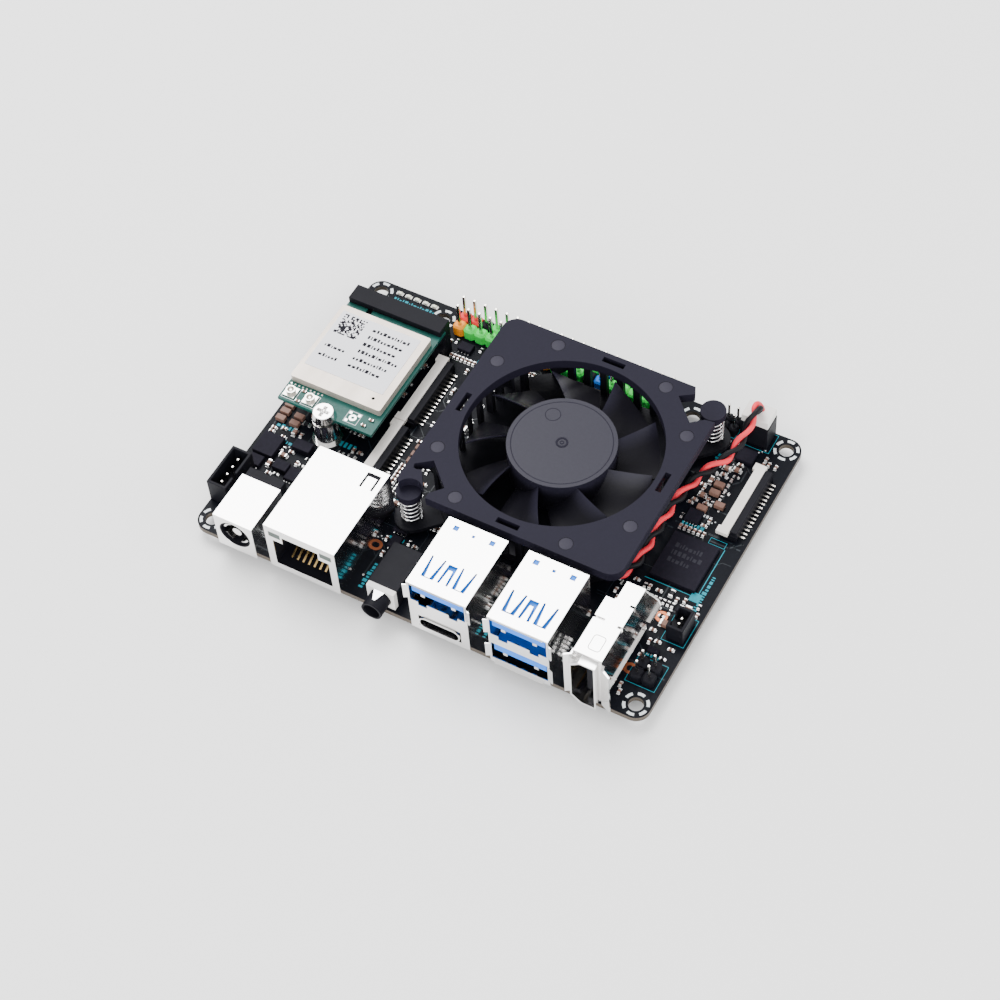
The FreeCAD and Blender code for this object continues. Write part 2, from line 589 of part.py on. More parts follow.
def make_lead():
    points = [shifted(*spot) for spot in LEAD_ROUTE]
    subpart(solid_feature("lead_tube", tube_along(points, size.lead_diameter / 2)), "fan_lead")
    left = "fan_header_left"
    front = "fan_header_front"
    body = box("plug_body", (f"{left} + wire_wall + 0.05", f"{front} + wire_wall + 0.05", 2.0),
               ("fan_header_length - 2 * wire_wall - 0.1", "wire_header_depth - 2 * wire_wall - 0.1",
                "plug_top - 2"))
    rim = box("plug_rim", (f"{left} + 0.1", f"{front} + 0.2", "wire_header_height + 0.05"),
              ("fan_header_length - 0.2", "wire_header_depth - 0.3", "plug_top - wire_header_height - 0.05"))
    sockets = [box(f"plug_socket_{number}",
                   (f"{left} + fan_header_length / 2 + {sign} * wire_pitch / 2 - 0.35",
                    f"{front} + wire_header_depth / 2 - 0.35", 1),
                   (0.7, 0.7, 4.2)) for number, sign in enumerate((-1, 1))]
    subpart(cut("plug_solid", fuse("plug_whole", [body, rim]), sockets), "fan_plug")


# ---------------------------------------------------------------- wire-to-board headers

def open_shroud(name, spot, sides):
    """A header's open box: four walls and a floor."""
    x, y, z = spot
    length, depth, height = sides
    outside = box(name + "_outside", spot, sides)
    inside = box(name + "_inside", (f"{x} + wire_wall", f"{y} + wire_wall", f"{z} + 1.2"),
                 (f"{length} - 2 * wire_wall", f"{depth} - 2 * wire_wall", height))
    return cut(name + "_shroud", outside, [inside])


def header_post(name, x, y, low, top):
    return box(name, (f"{x} - 0.25", f"{y} - 0.25", low), (0.5, 0.5, f"{top} - ({low})"))


def make_headers():
    posts = []
    power = open_shroud("power", (0, "power_header_front", 0),
                        ("wire_header_depth", "power_header_length", "wire_header_height"))
    side_gap = box("power_key", ("wire_header_depth - wire_wall - 0.5", "power_header_front + 3", 1.6),
                   (2, 1.2, "wire_header_height"))
    power = cut("power_shroud_cut", power, [side_gap])
    for number in range(4):
        y = f"power_header_front + power_header_length / 2 + wire_pitch * {number - 1.5}"
        posts.append(header_post(f"power_post_{number}", "wire_header_depth / 2", y, 1.2, 5))
    shroud = open_shroud("fan_shroud", ("fan_header_left", "fan_header_front", 0),
                         ("fan_header_length", "wire_header_depth", "wire_header_height"))
    subpart(group("wire_header_group", [power, shroud]), "wire_headers")
    for number in range(2):
        x = f"fan_header_left + fan_header_length / 2 + wire_pitch * {number - 0.5}"
        posts.append(header_post(f"fan_post_{number}", x, "fan_header_front + wire_header_depth / 2", 1.2, 5))
    blocks = []
    for stem, left, front, pitch in (("boot", "boot_left", "boot_front", "wire_pitch"),
                                     ("mode", "mode_left", "mode_front", "header_pitch")):
        for across in range(2):
            for back in range(2):
                x = f"{left} + {pitch} * {across + 0.5}"
                y = f"{front} + {pitch} * {back + 0.5}"
                tag = f"{stem}_{across}_{back}"
                foot = box(f"jumper_{tag}", (f"{left} + {pitch} * {across}", f"{front} + {pitch} * {back}", 0),
                           (pitch, pitch, "jumper_height"))
                hole = box(f"jumper_bore_{tag}", (f"{x} - 0.25", f"{y} - 0.25", -1), (0.5, 0.5, 4))
                blocks.append(cut(f"jumper_cut_{tag}", foot, [hole]))
                posts.append(header_post(f"jumper_post_{tag}", x, y, 0, "jumper_post_top"))
    subpart(group("jumper_group", blocks), "jumper_blocks")
    socket = open_shroud("battery", (95.3, 18.6, 0), (3.6, 5.4, 4.2))
    mouth = box("battery_mouth", (94.8, 20.1, 1.2), (1.4, 2.4, 5))
    subpart(cut("battery_cut", socket, [mouth]), "rtc_battery_socket")
    for number in range(2):
        posts.append(header_post(f"battery_post_{number}", 97.1, f"{20.675 + 1.25 * number}", 1.2, 3.4))
    subpart(group("posts_group", posts), "header_posts")


# ---------------------------------------------------------------- ethernet socket

def make_ethernet():
    skin = "sheet_metal"
    shell = box("lan_shell", ("lan_left", "lan_front", 0), ("lan_width", "lan_depth", "lan_height"))
    hollow = box("lan_hollow", (f"lan_left + {skin}", f"lan_front + {skin}", -1),
                 (f"lan_width - 2 * {skin}", f"lan_depth - 2 * {skin}", f"lan_height + 1 - {skin}"))
    middle = "lan_left + lan_width / 2"
    mouth_left = middle + " - lan_mouth_width / 2"
    mouth = box("lan_mouth", (mouth_left, "lan_front - 1", "lan_mouth_bottom"),
                ("lan_mouth_width", 3, "lan_mouth_height"))
    latch_left = middle + " - lan_latch_width / 2"
    step = box("lan_latch_way", (latch_left, "lan_front - 1", "lan_mouth_bottom + 1"),
               ("lan_latch_width", 3, "lan_latch_top - lan_mouth_bottom - 1"))
    lamp_lefts = (middle + " - lan_lamp_inner - lan_lamp_width", middle + " + lan_lamp_inner")
    lamps = [box(f"lan_lamp_hole_{number}", (x, "lan_front - 1", "lan_lamp_floor"),
                 ("lan_lamp_width", 3, "lan_lamp_height")) for number, x in enumerate(lamp_lefts)]
    tab = cut("lan_tab_slit", box("lan_tab_outer", ("lan_left + 11.8", 15.2, "lan_height - 1"),
                                  (2.9, 3.7, 2)),
              [box("lan_tab_inner", ("lan_left + 12.2", 14.6, "lan_height - 2"), (2.1, 3.5, 4))])
    subpart(cut("lan_shell_cut", shell, [hollow, mouth, step, tab] + lamps), "ethernet_shield")
    gap = 0.05
    block = box("lan_block", (f"lan_left + {skin} + {gap}", f"lan_front + {skin} + {gap}", 0.02),
                (f"lan_width - 2 * {skin} - {2 * gap}", f"lan_depth - 2 * {skin} - {2 * gap}",
                 f"lan_height - {skin} - {gap} - 0.02"))
    cavity = box("lan_cavity", (mouth_left, "lan_front - 1", "lan_mouth_bottom"),
                 ("lan_mouth_width", "lan_mouth_depth + 1", "lan_mouth_height"))
    latch = box("lan_latch_cavity", (latch_left, "lan_front - 1", "lan_mouth_bottom + 1"),
                ("lan_latch_width", "lan_mouth_depth - 4", "lan_latch_top - lan_mouth_bottom - 1"))
    light_ways = [box(f"lan_light_way_{number}", (x, "lan_front - 1", "lan_lamp_floor"),
                      ("lan_lamp_width", 12, "lan_lamp_height")) for number, x in enumerate(lamp_lefts)]
    comb = [box(f"lan_contact_way_{number}", (f"{middle} + lan_contact_pitch * {number - 3.5} - 0.3", 1.3,
                                              "lan_mouth_bottom - 0.6"), (0.6, 11.0, 0.7))
            for number in range(8)]
    subpart(cut("lan_block_cut", block, [cavity, latch] + light_ways + comb), "ethernet_insert")
    # Each contact lies along the floor and folds back on itself, rising towards the rear.
    wire = [(1.4, 1.1), (12.0, 1.1), (12.0, 1.45), (2.6, 1.45), (8.6, 4.35), (8.45, 4.65), (1.4, 1.5)]
    contacts = [prism(f"lan_contact_{number}", wire,
                      (f"{middle} + lan_contact_pitch * {number - 3.5} - 0.2", 0, 0), 0.4, SIDEWAYS)
                for number in range(8)]
    subpart(group("lan_contacts", contacts), "ethernet_contacts")
    lamps = [box(f"lan_lamp_{number}", (x + " + 0.05", "lan_front + 0.05", "lan_lamp_floor + 0.05"),
                 ("lan_lamp_width - 0.1", 10.8, "lan_lamp_height - 0.1"))
             for number, x in enumerate(lamp_lefts)]
    subpart(group("lan_lamps", lamps), "ethernet_light_pipes")


# ---------------------------------------------------------------- barrel jack and audio socket

def make_barrel_jack():
    axis = ("jack_left + jack_width / 2", "jack_front - 1", "jack_axis")
    skin = "sheet_metal"
    shell = box("jack_shell_block", ("jack_left", "jack_front", 0),
                ("jack_width", "jack_shell_depth", "jack_height"))
    hollow = box("jack_hollow", (f"jack_left + {skin}", f"jack_front + {skin}", -1),
                 (f"jack_width - 2 * {skin}", "jack_shell_depth", f"jack_height + 1 - {skin}"))
    mouth = cylinder("jack_mouth", axis, "jack_bore + 0.3", 3, "y")
    subpart(cut("jack_shell_cut", shell, [hollow, mouth]), "dc_jack_shell")
    gap = 0.05
    front = box("jack_front_block", (f"jack_left + {skin} + {gap}", f"jack_front + {skin} + {gap}", 0.02),
                (f"jack_width - 2 * {skin} - {2 * gap}", f"jack_body_depth - {skin} - {gap}",
                 f"jack_height - {skin} - {gap} - 0.02"))
    nose = cylinder("jack_nose", (axis[0], "jack_front + 0.02", "jack_axis"), "jack_bore + 0.25", 0.4, "y")
    bore = cylinder("jack_body_bore", axis, "jack_bore", 10, "y")
    seat = cylinder("jack_pin_seat", axis, "jack_pin_radius + 0.02", 12.6, "y")
    subpart(cut("jack_body_cut", fuse("jack_body_whole", [front, nose]), [bore, seat]), "dc_jack_body")
    pin = cylinder("jack_pin_rod", (axis[0], "jack_front + 0.9", "jack_axis"), "jack_pin_radius", 9.6, "y")
    slots = [box(f"jack_claw_gap_{number}", (f"{axis[0]} - {sides[0]} / 2", "jack_front",
                                             f"jack_axis - {sides[1]} / 2"), (sides[0], 7.0, sides[1]))
             for number, sides in enumerate(((1.7, 8), (8, 1.7)))]
    claws = cut("jack_claws", cylinder("jack_claw_ring", (axis[0], "jack_front + 0.5", "jack_axis"),
                                       "jack_bore - 0.35", 7.0, "y"),
                [cylinder("jack_claw_room", axis, "jack_bore - 0.75", 8.2, "y")] + slots)
    floor = cylinder("jack_contact_floor", (axis[0], "jack_front + 7.2", "jack_axis"),
                     "jack_bore - 0.05", 0.6, "y")
    subpart(fuse("jack_contact_solid", [pin, floor, claws]), "dc_jack_contacts")


def make_audio():
    axis = ("audio_left + audio_width / 2", "audio_front - 5", "audio_axis")
    face = 1.2
    block = box("audio_block", ("audio_left", f"audio_front + {face}", 0),
                ("audio_width", f"audio_depth - {face}", "audio_height"))
    barrel = cylinder("audio_barrel_rod", (axis[0], "audio_front - audio_nose", "audio_axis"),
                      "audio_barrel - 0.05", f"audio_nose + {face} + 1", "y")
    bore = cylinder("audio_bore_tool", axis, "audio_bore", 15.2, "y")
    subpart(cut("audio_body_cut", fuse("audio_whole", [block, barrel]), [bore]), "audio_jack_body")
    frame = box("audio_face", ("audio_left + 0.1", "audio_front", 0.02),
                (f"audio_width - 0.2", f"{face} - 0.02", "audio_height - 0.05"))
    hole = cylinder("audio_face_hole", axis, "audio_barrel", 10, "y")
    subpart(cut("audio_face_cut", frame, [hole]), "audio_jack_face")


# ---------------------------------------------------------------- USB sockets

def usb_shell(name, left, mouths):
    """A stacked socket's folded shield with flared lips and sprung cut-outs in its roof."""
    skin = "sheet_metal"
    shell = box(name + "_shell", (left, "usb_front", 0), ("usb_width", "usb_depth", "usb_height"))
    hollow = box(name + "_hollow", (f"{left} + {skin}", f"usb_front + {skin}", -1),
                 (f"usb_width - 2 * {skin}", f"usb_depth - 2 * {skin}", f"usb_height + 1 - {skin}"))
    tools = [hollow]
    for number, (width, low, height) in enumerate(mouths):
        tools.append(box(f"{name}_mouth_{number}",
                         (f"{left} + (usb_width - {width}) / 2", "usb_front - 1", low), (width, 3, height)))
    low = "usb_height - 1"
    middle = f"{left} + usb_width / 2"
    leaf = [(-1.55, 5.8), (-1.2, 5.8), (-0.5, 1.0), (0.5, 1.0), (1.2, 5.8), (1.55, 5.8), (1.25, 0), (-1.25, 0)]
    for number, sign in enumerate((-1, 1)):
        tools.append(prism(f"{name}_leaf_{number}", leaf,
                           (f"{middle} + {sign} * 3.3", "usb_front + 1.6", low), 3))
        tools.append(box(f"{name}_notch_{number}", (f"{middle} + {sign} * 3.3 - 0.95", "usb_front - 1",
                                                    "usb_upper - 1.0"), (1.9, 3, 1.2)))
    catch = [(-1.15, 0), (-0.7, 0), (-0.4, 3.7), (0.4, 3.7), (0.7, 0), (1.15, 0), (0.95, 4.9), (-0.95, 4.9)]
    tools.append(prism(name + "_catch", catch, (middle, "usb_front + 2.1", low), 3))
    for number, offset in enumerate((-3.9, 0, 3.9)):
        side = 1.1 if offset else 0.6
        tools.append(box(f"{name}_punch_{number}", (f"{middle} + {offset - side / 2}",
                                                    "usb_front + usb_depth - 2.4", low), (side, side, 3)))
    body = cut(name + "_folded", shell, tools)
    lips = []
    wide = [low for width, low, height in mouths if width == "usb_mouth_width"]
    for level, low in enumerate(wide):
        for number, (x, lean) in enumerate(((left, -1), (f"{left} + usb_width", 1))):
            points = [(0, 0), (0, 2.4), (-lean * 0.3, 2.4), (-lean * 0.3, 0), (lean * size.flare * 0.8, -0.5),
                      (lean * size.flare, -0.3)]
            lips.append(prism(f"{name}_lip_{level}_{number}", points, (x, "usb_front", f"{low} + 0.4"),
                              "usb_mouth_height - 0.9"))
    points = [(0, 0), (2.4, 0), (2.4, -0.3), (0.1, -0.3), (-0.6, 0.35), (-0.4, 0.6)]
    lips.append(prism(f"{name}_lip_top", points, (f"{left} + 0.8", "usb_front", "usb_height"),
                      "usb_width - 1.6", SIDEWAYS))
    if "usb_lower" in wide:
        points = [(0, -0.1), (0.3, -0.1), (0.3, -0.5), (0, -0.5), (-0.6, -0.85), (-0.7, -0.6)]
        lips.append(prism(f"{name}_lip_bottom", points, (f"{left} + 1.2", "usb_front", "usb_lower"),
                          "usb_width - 2.4", SIDEWAYS))
    return fuse(name + "_shield", [body] + lips)


def usb_tongue(name, left, low):
    """The moulded block at the back of one socket with the tongue that carries its contacts."""
    gap = 0.05
    rear = box(f"{name}_rear", (f"{left} + sheet_metal + {gap}", "usb_front + 9.6", f"{low} - 0.35"),
               (f"usb_width - 2 * sheet_metal - {2 * gap}", f"usb_depth - 9.6 - sheet_metal - {gap}",
                "usb_mouth_height + 0.4"))
    tongue = box(f"{name}_tongue",
                 (f"{left} + (usb_width - tongue_width) / 2", "usb_front + 0.4",
                  f"{low} + usb_mouth_height - tongue_height - 0.3"), ("tongue_width", 9.5, "tongue_height"))
    return fuse(f"{name}_moulding", [rear, tongue])


def make_usb():
    upper = ("usb_mouth_width", "usb_upper", "usb_mouth_height")
    lower = ("usb_mouth_width", "usb_lower", "usb_mouth_height")
    type_c = ("(type_c_width + 0.2)", "type_c_floor - 0.1", "type_c_height + 0.2")
    subpart(usb_shell("usb_mixed", "usb_left", [upper, type_c]), "usb_mixed_shield")
    subpart(usb_shell("usb_pair", "usb_pair_left", [upper, lower]), "usb_pair_shield")
    subpart(group("usb_tongues_group", [usb_tongue("usb_a", "usb_left", "usb_upper"),
                                        usb_tongue("usb_b", "usb_pair_left", "usb_upper"),
                                        usb_tongue("usb_c", "usb_pair_left", "usb_lower")]),
            "usb_tongues")
    left = "usb_left + (usb_width - type_c_width) / 2"
    rim = box("type_c_rim", (left, "usb_front - 0.3", "type_c_floor"),
              ("type_c_width", 8.0, "type_c_height"))
    rim = rounded("type_c_rim_round", rim, 1.55, "y")
    hollow = box("type_c_hollow", (f"{left} + 0.3", "usb_front - 1.3", "type_c_floor + 0.3"),
                 ("type_c_width - 0.6", 8.0, "type_c_height - 0.6"))
    hollow = rounded("type_c_hollow_round", hollow, 1.25, "y")
    subpart(cut("type_c_ring", rim, [hollow]), "usb_c_port")


# ---------------------------------------------------------------- display socket

def mouth_outline(grow):
    """The D-shaped mouth seen from the front: the long side on the right, chamfered on the left."""
    left, right = 86.0 - grow, 90.65 + grow
    low, high = 0.6 - grow, 13.7 + grow
    return [(left, low + 1.6), (left + 1.9, low), (right, low), (right, high), (left + 1.9, high),
            (left, high - 1.6)]


def make_hdmi():
    skin = 0.3
    main = box("hdmi_main", ("hdmi_left", "hdmi_front", "hdmi_bottom"),
               ("hdmi_width", "hdmi_depth", "hdmi_top - hdmi_bottom"))
    rear = box("hdmi_rear", ("hdmi_rear_left", "hdmi_front + hdmi_depth", "hdmi_bottom"),
               ("hdmi_left + hdmi_width - hdmi_rear_left", "hdmi_rear_depth", "hdmi_top - hdmi_bottom"))
    collar = prism("hdmi_collar", mouth_outline(0.35), (0, "hdmi_front", 0), "hdmi_front + 1.6", UPRIGHT)
    body = fuse("hdmi_solid", [main, rear, collar])
    mouth = prism("hdmi_mouth", mouth_outline(0), (0, "hdmi_front + 9", 0), 12, UPRIGHT)
    inside = box("hdmi_inside", ("hdmi_left + 0.4", "hdmi_front + 9", "hdmi_bottom + 0.4"),
                 ("hdmi_width - 0.8", "hdmi_depth - 9.4", "hdmi_top - hdmi_bottom - 0.8"))
    slits = [box(f"hdmi_slit_{number}", spot, sides) for number, (spot, sides) in enumerate((
        ((85.0, 8.4, "hdmi_top - 1.2"), (2.8, 0.5, 3)), ((90.6, 8.1, "hdmi_top - 1.2"), (1.2, 0.5, 3)),
        ((85.0, 13.5, "hdmi_top - 1.2"), (2.3, 0.5, 3)), ((90.6, 13.2, "hdmi_top - 1.2"), (1.2, 0.5, 3))))]
    body = cut("hdmi_shell_cut", body, [mouth, inside] + slits)
    wings = [
        prism("hdmi_wing_right", [(91.4, 0.9), (91.8, 0.9), (91.8, 0.2), (93.7, -0.9), (93.6, -1.25),
                                  (91.4, -0.1)], (0, 0, 0.2), 12.2),
        prism("hdmi_wing_left", [(85.7, 0.9), (85.3, 0.9), (85.3, -0.2), (84.2, -0.9), (84.3, -1.25),
                                 (85.7, -0.4)], (0, 0, 1.4), 12.7),
        prism("hdmi_rear_wing", [(91.3, 14.3), (94.1, 13.0), (94.7, 11.6), (93.2, 5.6), (92.6, 4.2),
                                 (91.3, 4.2)],
              (0, "hdmi_front + hdmi_depth + hdmi_rear_depth", 0), 0.35, UPRIGHT),
        prism("hdmi_foot", [(91.4, 1.0), (91.9, 1.0), (91.9, 17.5), (91.4, 17.5)], (0, 0, 2.0), 0.4)]
    subpart(fuse("hdmi_shield", [body] + wings), "hdmi_shell")
    tongue = box("hdmi_blade", (88.0, "hdmi_front + 0.6", 2.2), (1.1, 8.6, 10.0))
    stem = box("hdmi_stem", ("hdmi_left + 0.45", "hdmi_front + 9.05", "hdmi_bottom + 0.45"),
               ("hdmi_width - 0.9", "hdmi_depth - 9.5", "hdmi_top - hdmi_bottom - 0.9"))
    left = "usb_left + (usb_width - type_c_width) / 2"
    blade = box("type_c_blade", (f"{left} + 1.2", "usb_front + 0.5", "type_c_floor + type_c_height / 2 - 0.35"),
                ("type_c_width - 2.4", 6.0, 0.7))
    plug = box("type_c_rear", (f"{left} + 0.7", "usb_front + 5.9", "type_c_floor + 0.7"),
               ("type_c_width - 1.4", 0.75, "type_c_height - 1.4"))
    subpart(group("inserts", [fuse("hdmi_insert_solid", [tongue, stem]),
                              fuse("type_c_insert_solid", [blade, plug])]), "port_tongues")


# ---------------------------------------------------------------- radio module

def make_radio():
    slot = box("slot_block", ("radio_left + 0.1", "slot_front", 0),
               ("radio_width - 0.2", "slot_depth", "slot_top"))
    groove = box("slot_groove", ("radio_left - 1", "slot_front - 1", "radio_floor - slot_clearance"),
                 ("radio_width + 2", "radio_front + radio_length + 1.05 - slot_front",
                  "radio_thickness + 2 * slot_clearance"))
    under = box("slot_under", ("radio_left - 1", "slot_front - 1", 3.2), ("radio_width + 2", 2.4, 2.4))
    subpart(cut("slot_cut", slot, [groove, under]), "m2_slot")
    board = box("radio_card", ("radio_left", "radio_front", "radio_floor"),
                ("radio_width", "radio_length", "radio_thickness"))
    notch = cylinder("radio_notch", ("screw_across", "radio_front", "radio_floor - 1"), 1.75, 4)
    key = box("radio_key", ("radio_left + 4.6", "radio_front + radio_length - 3.5", "radio_floor - 1"),
              (1.2, 5, 4))
    subpart(cut("radio_card_cut", board, [notch, key]), "wifi_board")
    top = "(radio_floor + radio_thickness)"
    can = box("radio_can", (2.4, 35.3, top), (21.0, 20.9, "shield_height"))
    can = rounded("radio_can_round", can, 0.5)
    room = box("radio_can_room", (2.6, 35.5, top + " - 1"), (20.6, 20.5, "shield_height + 0.8"))
    vent = cylinder("radio_vent", (20.6, 37.6, top), 0.35, 3)
    subpart(cut("radio_can_cut", can, [room, vent]), "wifi_shield")
    subpart(box("radio_label", (3.4, 39.2, f"{top} + shield_height"), (18.4, 15.6, 0.08)), "wifi_label")
    sockets = []
    for number, x in enumerate((4.2, 8.7)):
        base = box(f"antenna_base_{number}", (f"{x} - 1.3", 31.2, top), (2.6, 2.6, 0.5))
        ring = cylinder(f"antenna_ring_{number}", (x, 32.5, top), 1.0, 1.3)
        hole = cylinder(f"antenna_hole_{number}", (x, 32.5, f"{top} + 0.5"), 0.72, 2)
        stud = cylinder(f"antenna_stud_{number}", (x, 32.5, top), 0.25, 1.1)
        sockets.append(fuse(f"antenna_{number}",
                            [cut(f"antenna_cup_{number}", fuse(f"antenna_outer_{number}", [base, ring]),
                                 [hole]), stud]))
    subpart(group("antenna_group", sockets), "antenna_sockets")
    column = fuse("standoff_solid", [
        cylinder("standoff_post", ("screw_across", "radio_front", 0), "standoff_radius", "radio_floor"),
        cylinder("standoff_ring", ("screw_across", "radio_front", 0), "standoff_radius + 0.6", 0.8)])
    bore = cylinder("standoff_bore", ("screw_across", "radio_front", 2.6), "screw_radius + 0.04", 6)
    subpart(cut("standoff_cut", column, [bore]), "m2_standoff")
    head = cone("screw_head", ("screw_across", "radio_front", top), "screw_head_radius",
                "screw_head_radius - 0.5", "screw_head_height")
    shank = cylinder("screw_shank", ("screw_across", "radio_front", 3.0), "screw_radius", f"{top} - 2.9")
    recess = [box(f"screw_recess_{number}",
                  (f"screw_across - {sides[0]} / 2", f"radio_front - {sides[1]} / 2",
                   f"{top} + screw_head_height - 1.0"), (*sides, 2))
              for number, sides in enumerate(((2.6, 0.6), (0.6, 2.6)))]
    subpart(cut("screw_cut", fuse("screw_whole", [head, shank]), recess), "m2_screw")


# ---------------------------------------------------------------- flat-cable sockets

def ribbon_sockets():
    """Name, left edge and front edge of the three flat-cable sockets."""
    return (("camera_upper", "camera_left", "camera_upper_front"),
            ("camera_lower", "camera_left", "camera_lower_front"),
            ("display", "display_left", "display_front"))


def make_ribbon_sockets():
    housings = []
    contacts = []
    for name, left, front in ribbon_sockets():
        body = box(f"{name}_body", (f"{left} + 2.7", f"{front} + 0.9", 0),
                   (1.5, "ribbon_length - 1.8", "ribbon_height"))
        arms = [box(f"{name}_arm_{number}", (f"{left} + 0.6", y, 0), (3.6, 0.7, 1.5))
                for number, y in enumerate((f"{front} + 0.7", f"{front} + ribbon_length - 1.4"))]
        throat = box(f"{name}_throat", (f"{left} + 1.0", f"{front} + 1.9", 0.9),
                     (2.9, "ribbon_length - 3.8", 0.7))
        housings.append(cut(f"{name}_housing", fuse(f"{name}_housing_whole", [body] + arms), [throat]))
        for number in range(15):
            y = f"{front} + ribbon_length / 2 + ribbon_pitch * {number - 7} - 0.17"
            contacts.append(box(f"{name}_contact_{number}", (f"{left} + 4.22", y, 0.0), (1.2, 0.34, 0.35)))
        bar = box(f"{name}_bar", (f"{left} + 0.6", f"{front} + 1.55", 0.45),
                  (2.0, "ribbon_length - 3.1", "ribbon_height - 0.45"))
        lip = box(f"{name}_lip", (f"{left} + 2.5", f"{front} + 2.0", 1.1), (1.3, "ribbon_length - 4.0", 0.4))
        ears = [box(f"{name}_ear_{number}", (f"{left} + 0.1", y, 1.6), (2.5, 1.6, 0.9))
                for number, y in enumerate((front, f"{front} + ribbon_length - 1.6"))]
        subpart(fuse(f"{name}_latch_solid", [bar, lip] + ears), f"{name}_latch")
    subpart(group("ribbon_housings", housings), "ribbon_housings")
    subpart(group("ribbon_contacts", contacts), "ribbon_contacts")


# ---------------------------------------------------------------- chips and small parts

def make_chips():
    subpart(box("memory", ("memory_left", "memory_front", 0),
                ("memory_width", "memory_length", "memory_height")), "memory_chip")
    chips = [((1.3, 20.6), (4.6, 5.4, 1.2)), ((8.2, 24.6), (4.0, 2.4, 1.4)), ((7.2, 18.6), (3.2, 2.2, 1.3)),
             ((88.9, 62.2), (3.6, 3.2, 1.0)), ((31.2, 27.2), (3.6, 3.6, 0.9)), ((31.0, 44.6), (3.4, 3.4, 0.9)),
             ((14.6, 22.4), (3.4, 3.4, 0.8)), ((64.8, 17.2), (2.2, 1.0, 0.8))]
    subpart(group("small_chips_group", [box(f"chip_{number}", (*spot, 0), sides)
                                        for number, (spot, sides) in enumerate(chips)]), "small_chips")
    capacitors = [(2.1, 34.0), (2.1, 32.2), (2.1, 30.3), (5.4, 32.2), (5.4, 30.3), (89.0, 55.0),
                  (89.0, 52.9), (91.2, 50.5), (88.4, 48.4), (31.6, 36.2), (31.6, 34.4), (31.6, 32.6)]
    subpart(group("capacitor_group", [box(f"capacitor_{number}", (f"{x} - 1.0", f"{y} - 0.6", 0),
                                          (2.0, 1.2, 1.0)) for number, (x, y) in enumerate(capacitors)]),
            "chip_capacitors")


def make_solder_tails():
    """Soldered ends of the sockets' legs on the underside of the board."""
    rows = []
    for number in range(8):
        rows.append((f"lan_left + lan_width / 2 + lan_contact_pitch * {number - 3.5}",
                     f"{13.4 + 2.54 * (number % 2)}"))
    for left in ("usb_left", "usb_pair_left"):
        for x in (0.4, 12.4):
            for y in (3.0, 12.0):
                rows.append((f"{left} + {x}", y))
        for step in range(4):
            rows.append((f"{left} + {2.9 + 2.33 * step:.2f}", 14.6))
    rows += [(f"jack_left + {x}", y) for x, y in ((4.45, 10.6), (0.6, 5.2), (8.3, 5.2))]
    rows += [(2.25, f"power_header_front + power_header_length / 2 + wire_pitch * {step - 1.5}")
             for step in range(4)]
    rows += [(f"fan_header_left + fan_header_length / 2 + wire_pitch * {step - 0.5}",
              "fan_header_front + wire_header_depth / 2") for step in range(2)]
    rows += [(x, y) for x in (19.9, 34.7) for y in (4.2, 10.4)]
    rows += [(x, y) for x in (86.4, 90.6) for y in (3.0, 15.0)]
    tails = [cone(f"tail_{number}", (x, y, "- board_thickness - solder_tail"), 0.3, 0.75, "solder_tail")
             for number, (x, y) in enumerate(rows)]
    subpart(group("tails", tails), "solder_tails")


# ---------------------------------------------------------------- build, test and write

def main():
    make_board()
    make_pin_header()
    make_processor()
    make_heatsink()
    make_cover()
    make_fan()
    make_push_pins()
    make_lead()
    make_headers()
    make_ethernet()
    make_barrel_jack()
    make_audio()
    make_usb()
    make_hdmi()
    make_radio()
    make_ribbon_sockets()
    make_chips()
    make_solder_tails()
    doc.recompute()
    for item in doc.Objects:
        if "Invalid" in item.State or "Error" in item.State:
            raise RuntimeError(f"{item.Label} failed: {item.State}")
    for item in subparts:
        if item.Shape.isNull() or not item.Shape.isValid() or not item.Shape.Solids:
            raise RuntimeError(f"{item.Label} has no valid solid")
    os.makedirs("parts", exist_ok=True)
    for item in subparts:
        item.Shape.exportStep(f"parts/{item.Label}.step")
        print(f"{item.Label:28s} {len(item.Shape.Solids):3d} solids {item.Shape.Volume:10.2f} mm3")


main()
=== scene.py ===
"""Looks of a single board computer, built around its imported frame.

Places are given in millimetres from the board's front left corner, on its top face, and turned into the
frame's metres by spot(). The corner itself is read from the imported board.
"""
import json
import math
import random

import bmesh
import bpy
from mathutils import Matrix, Vector


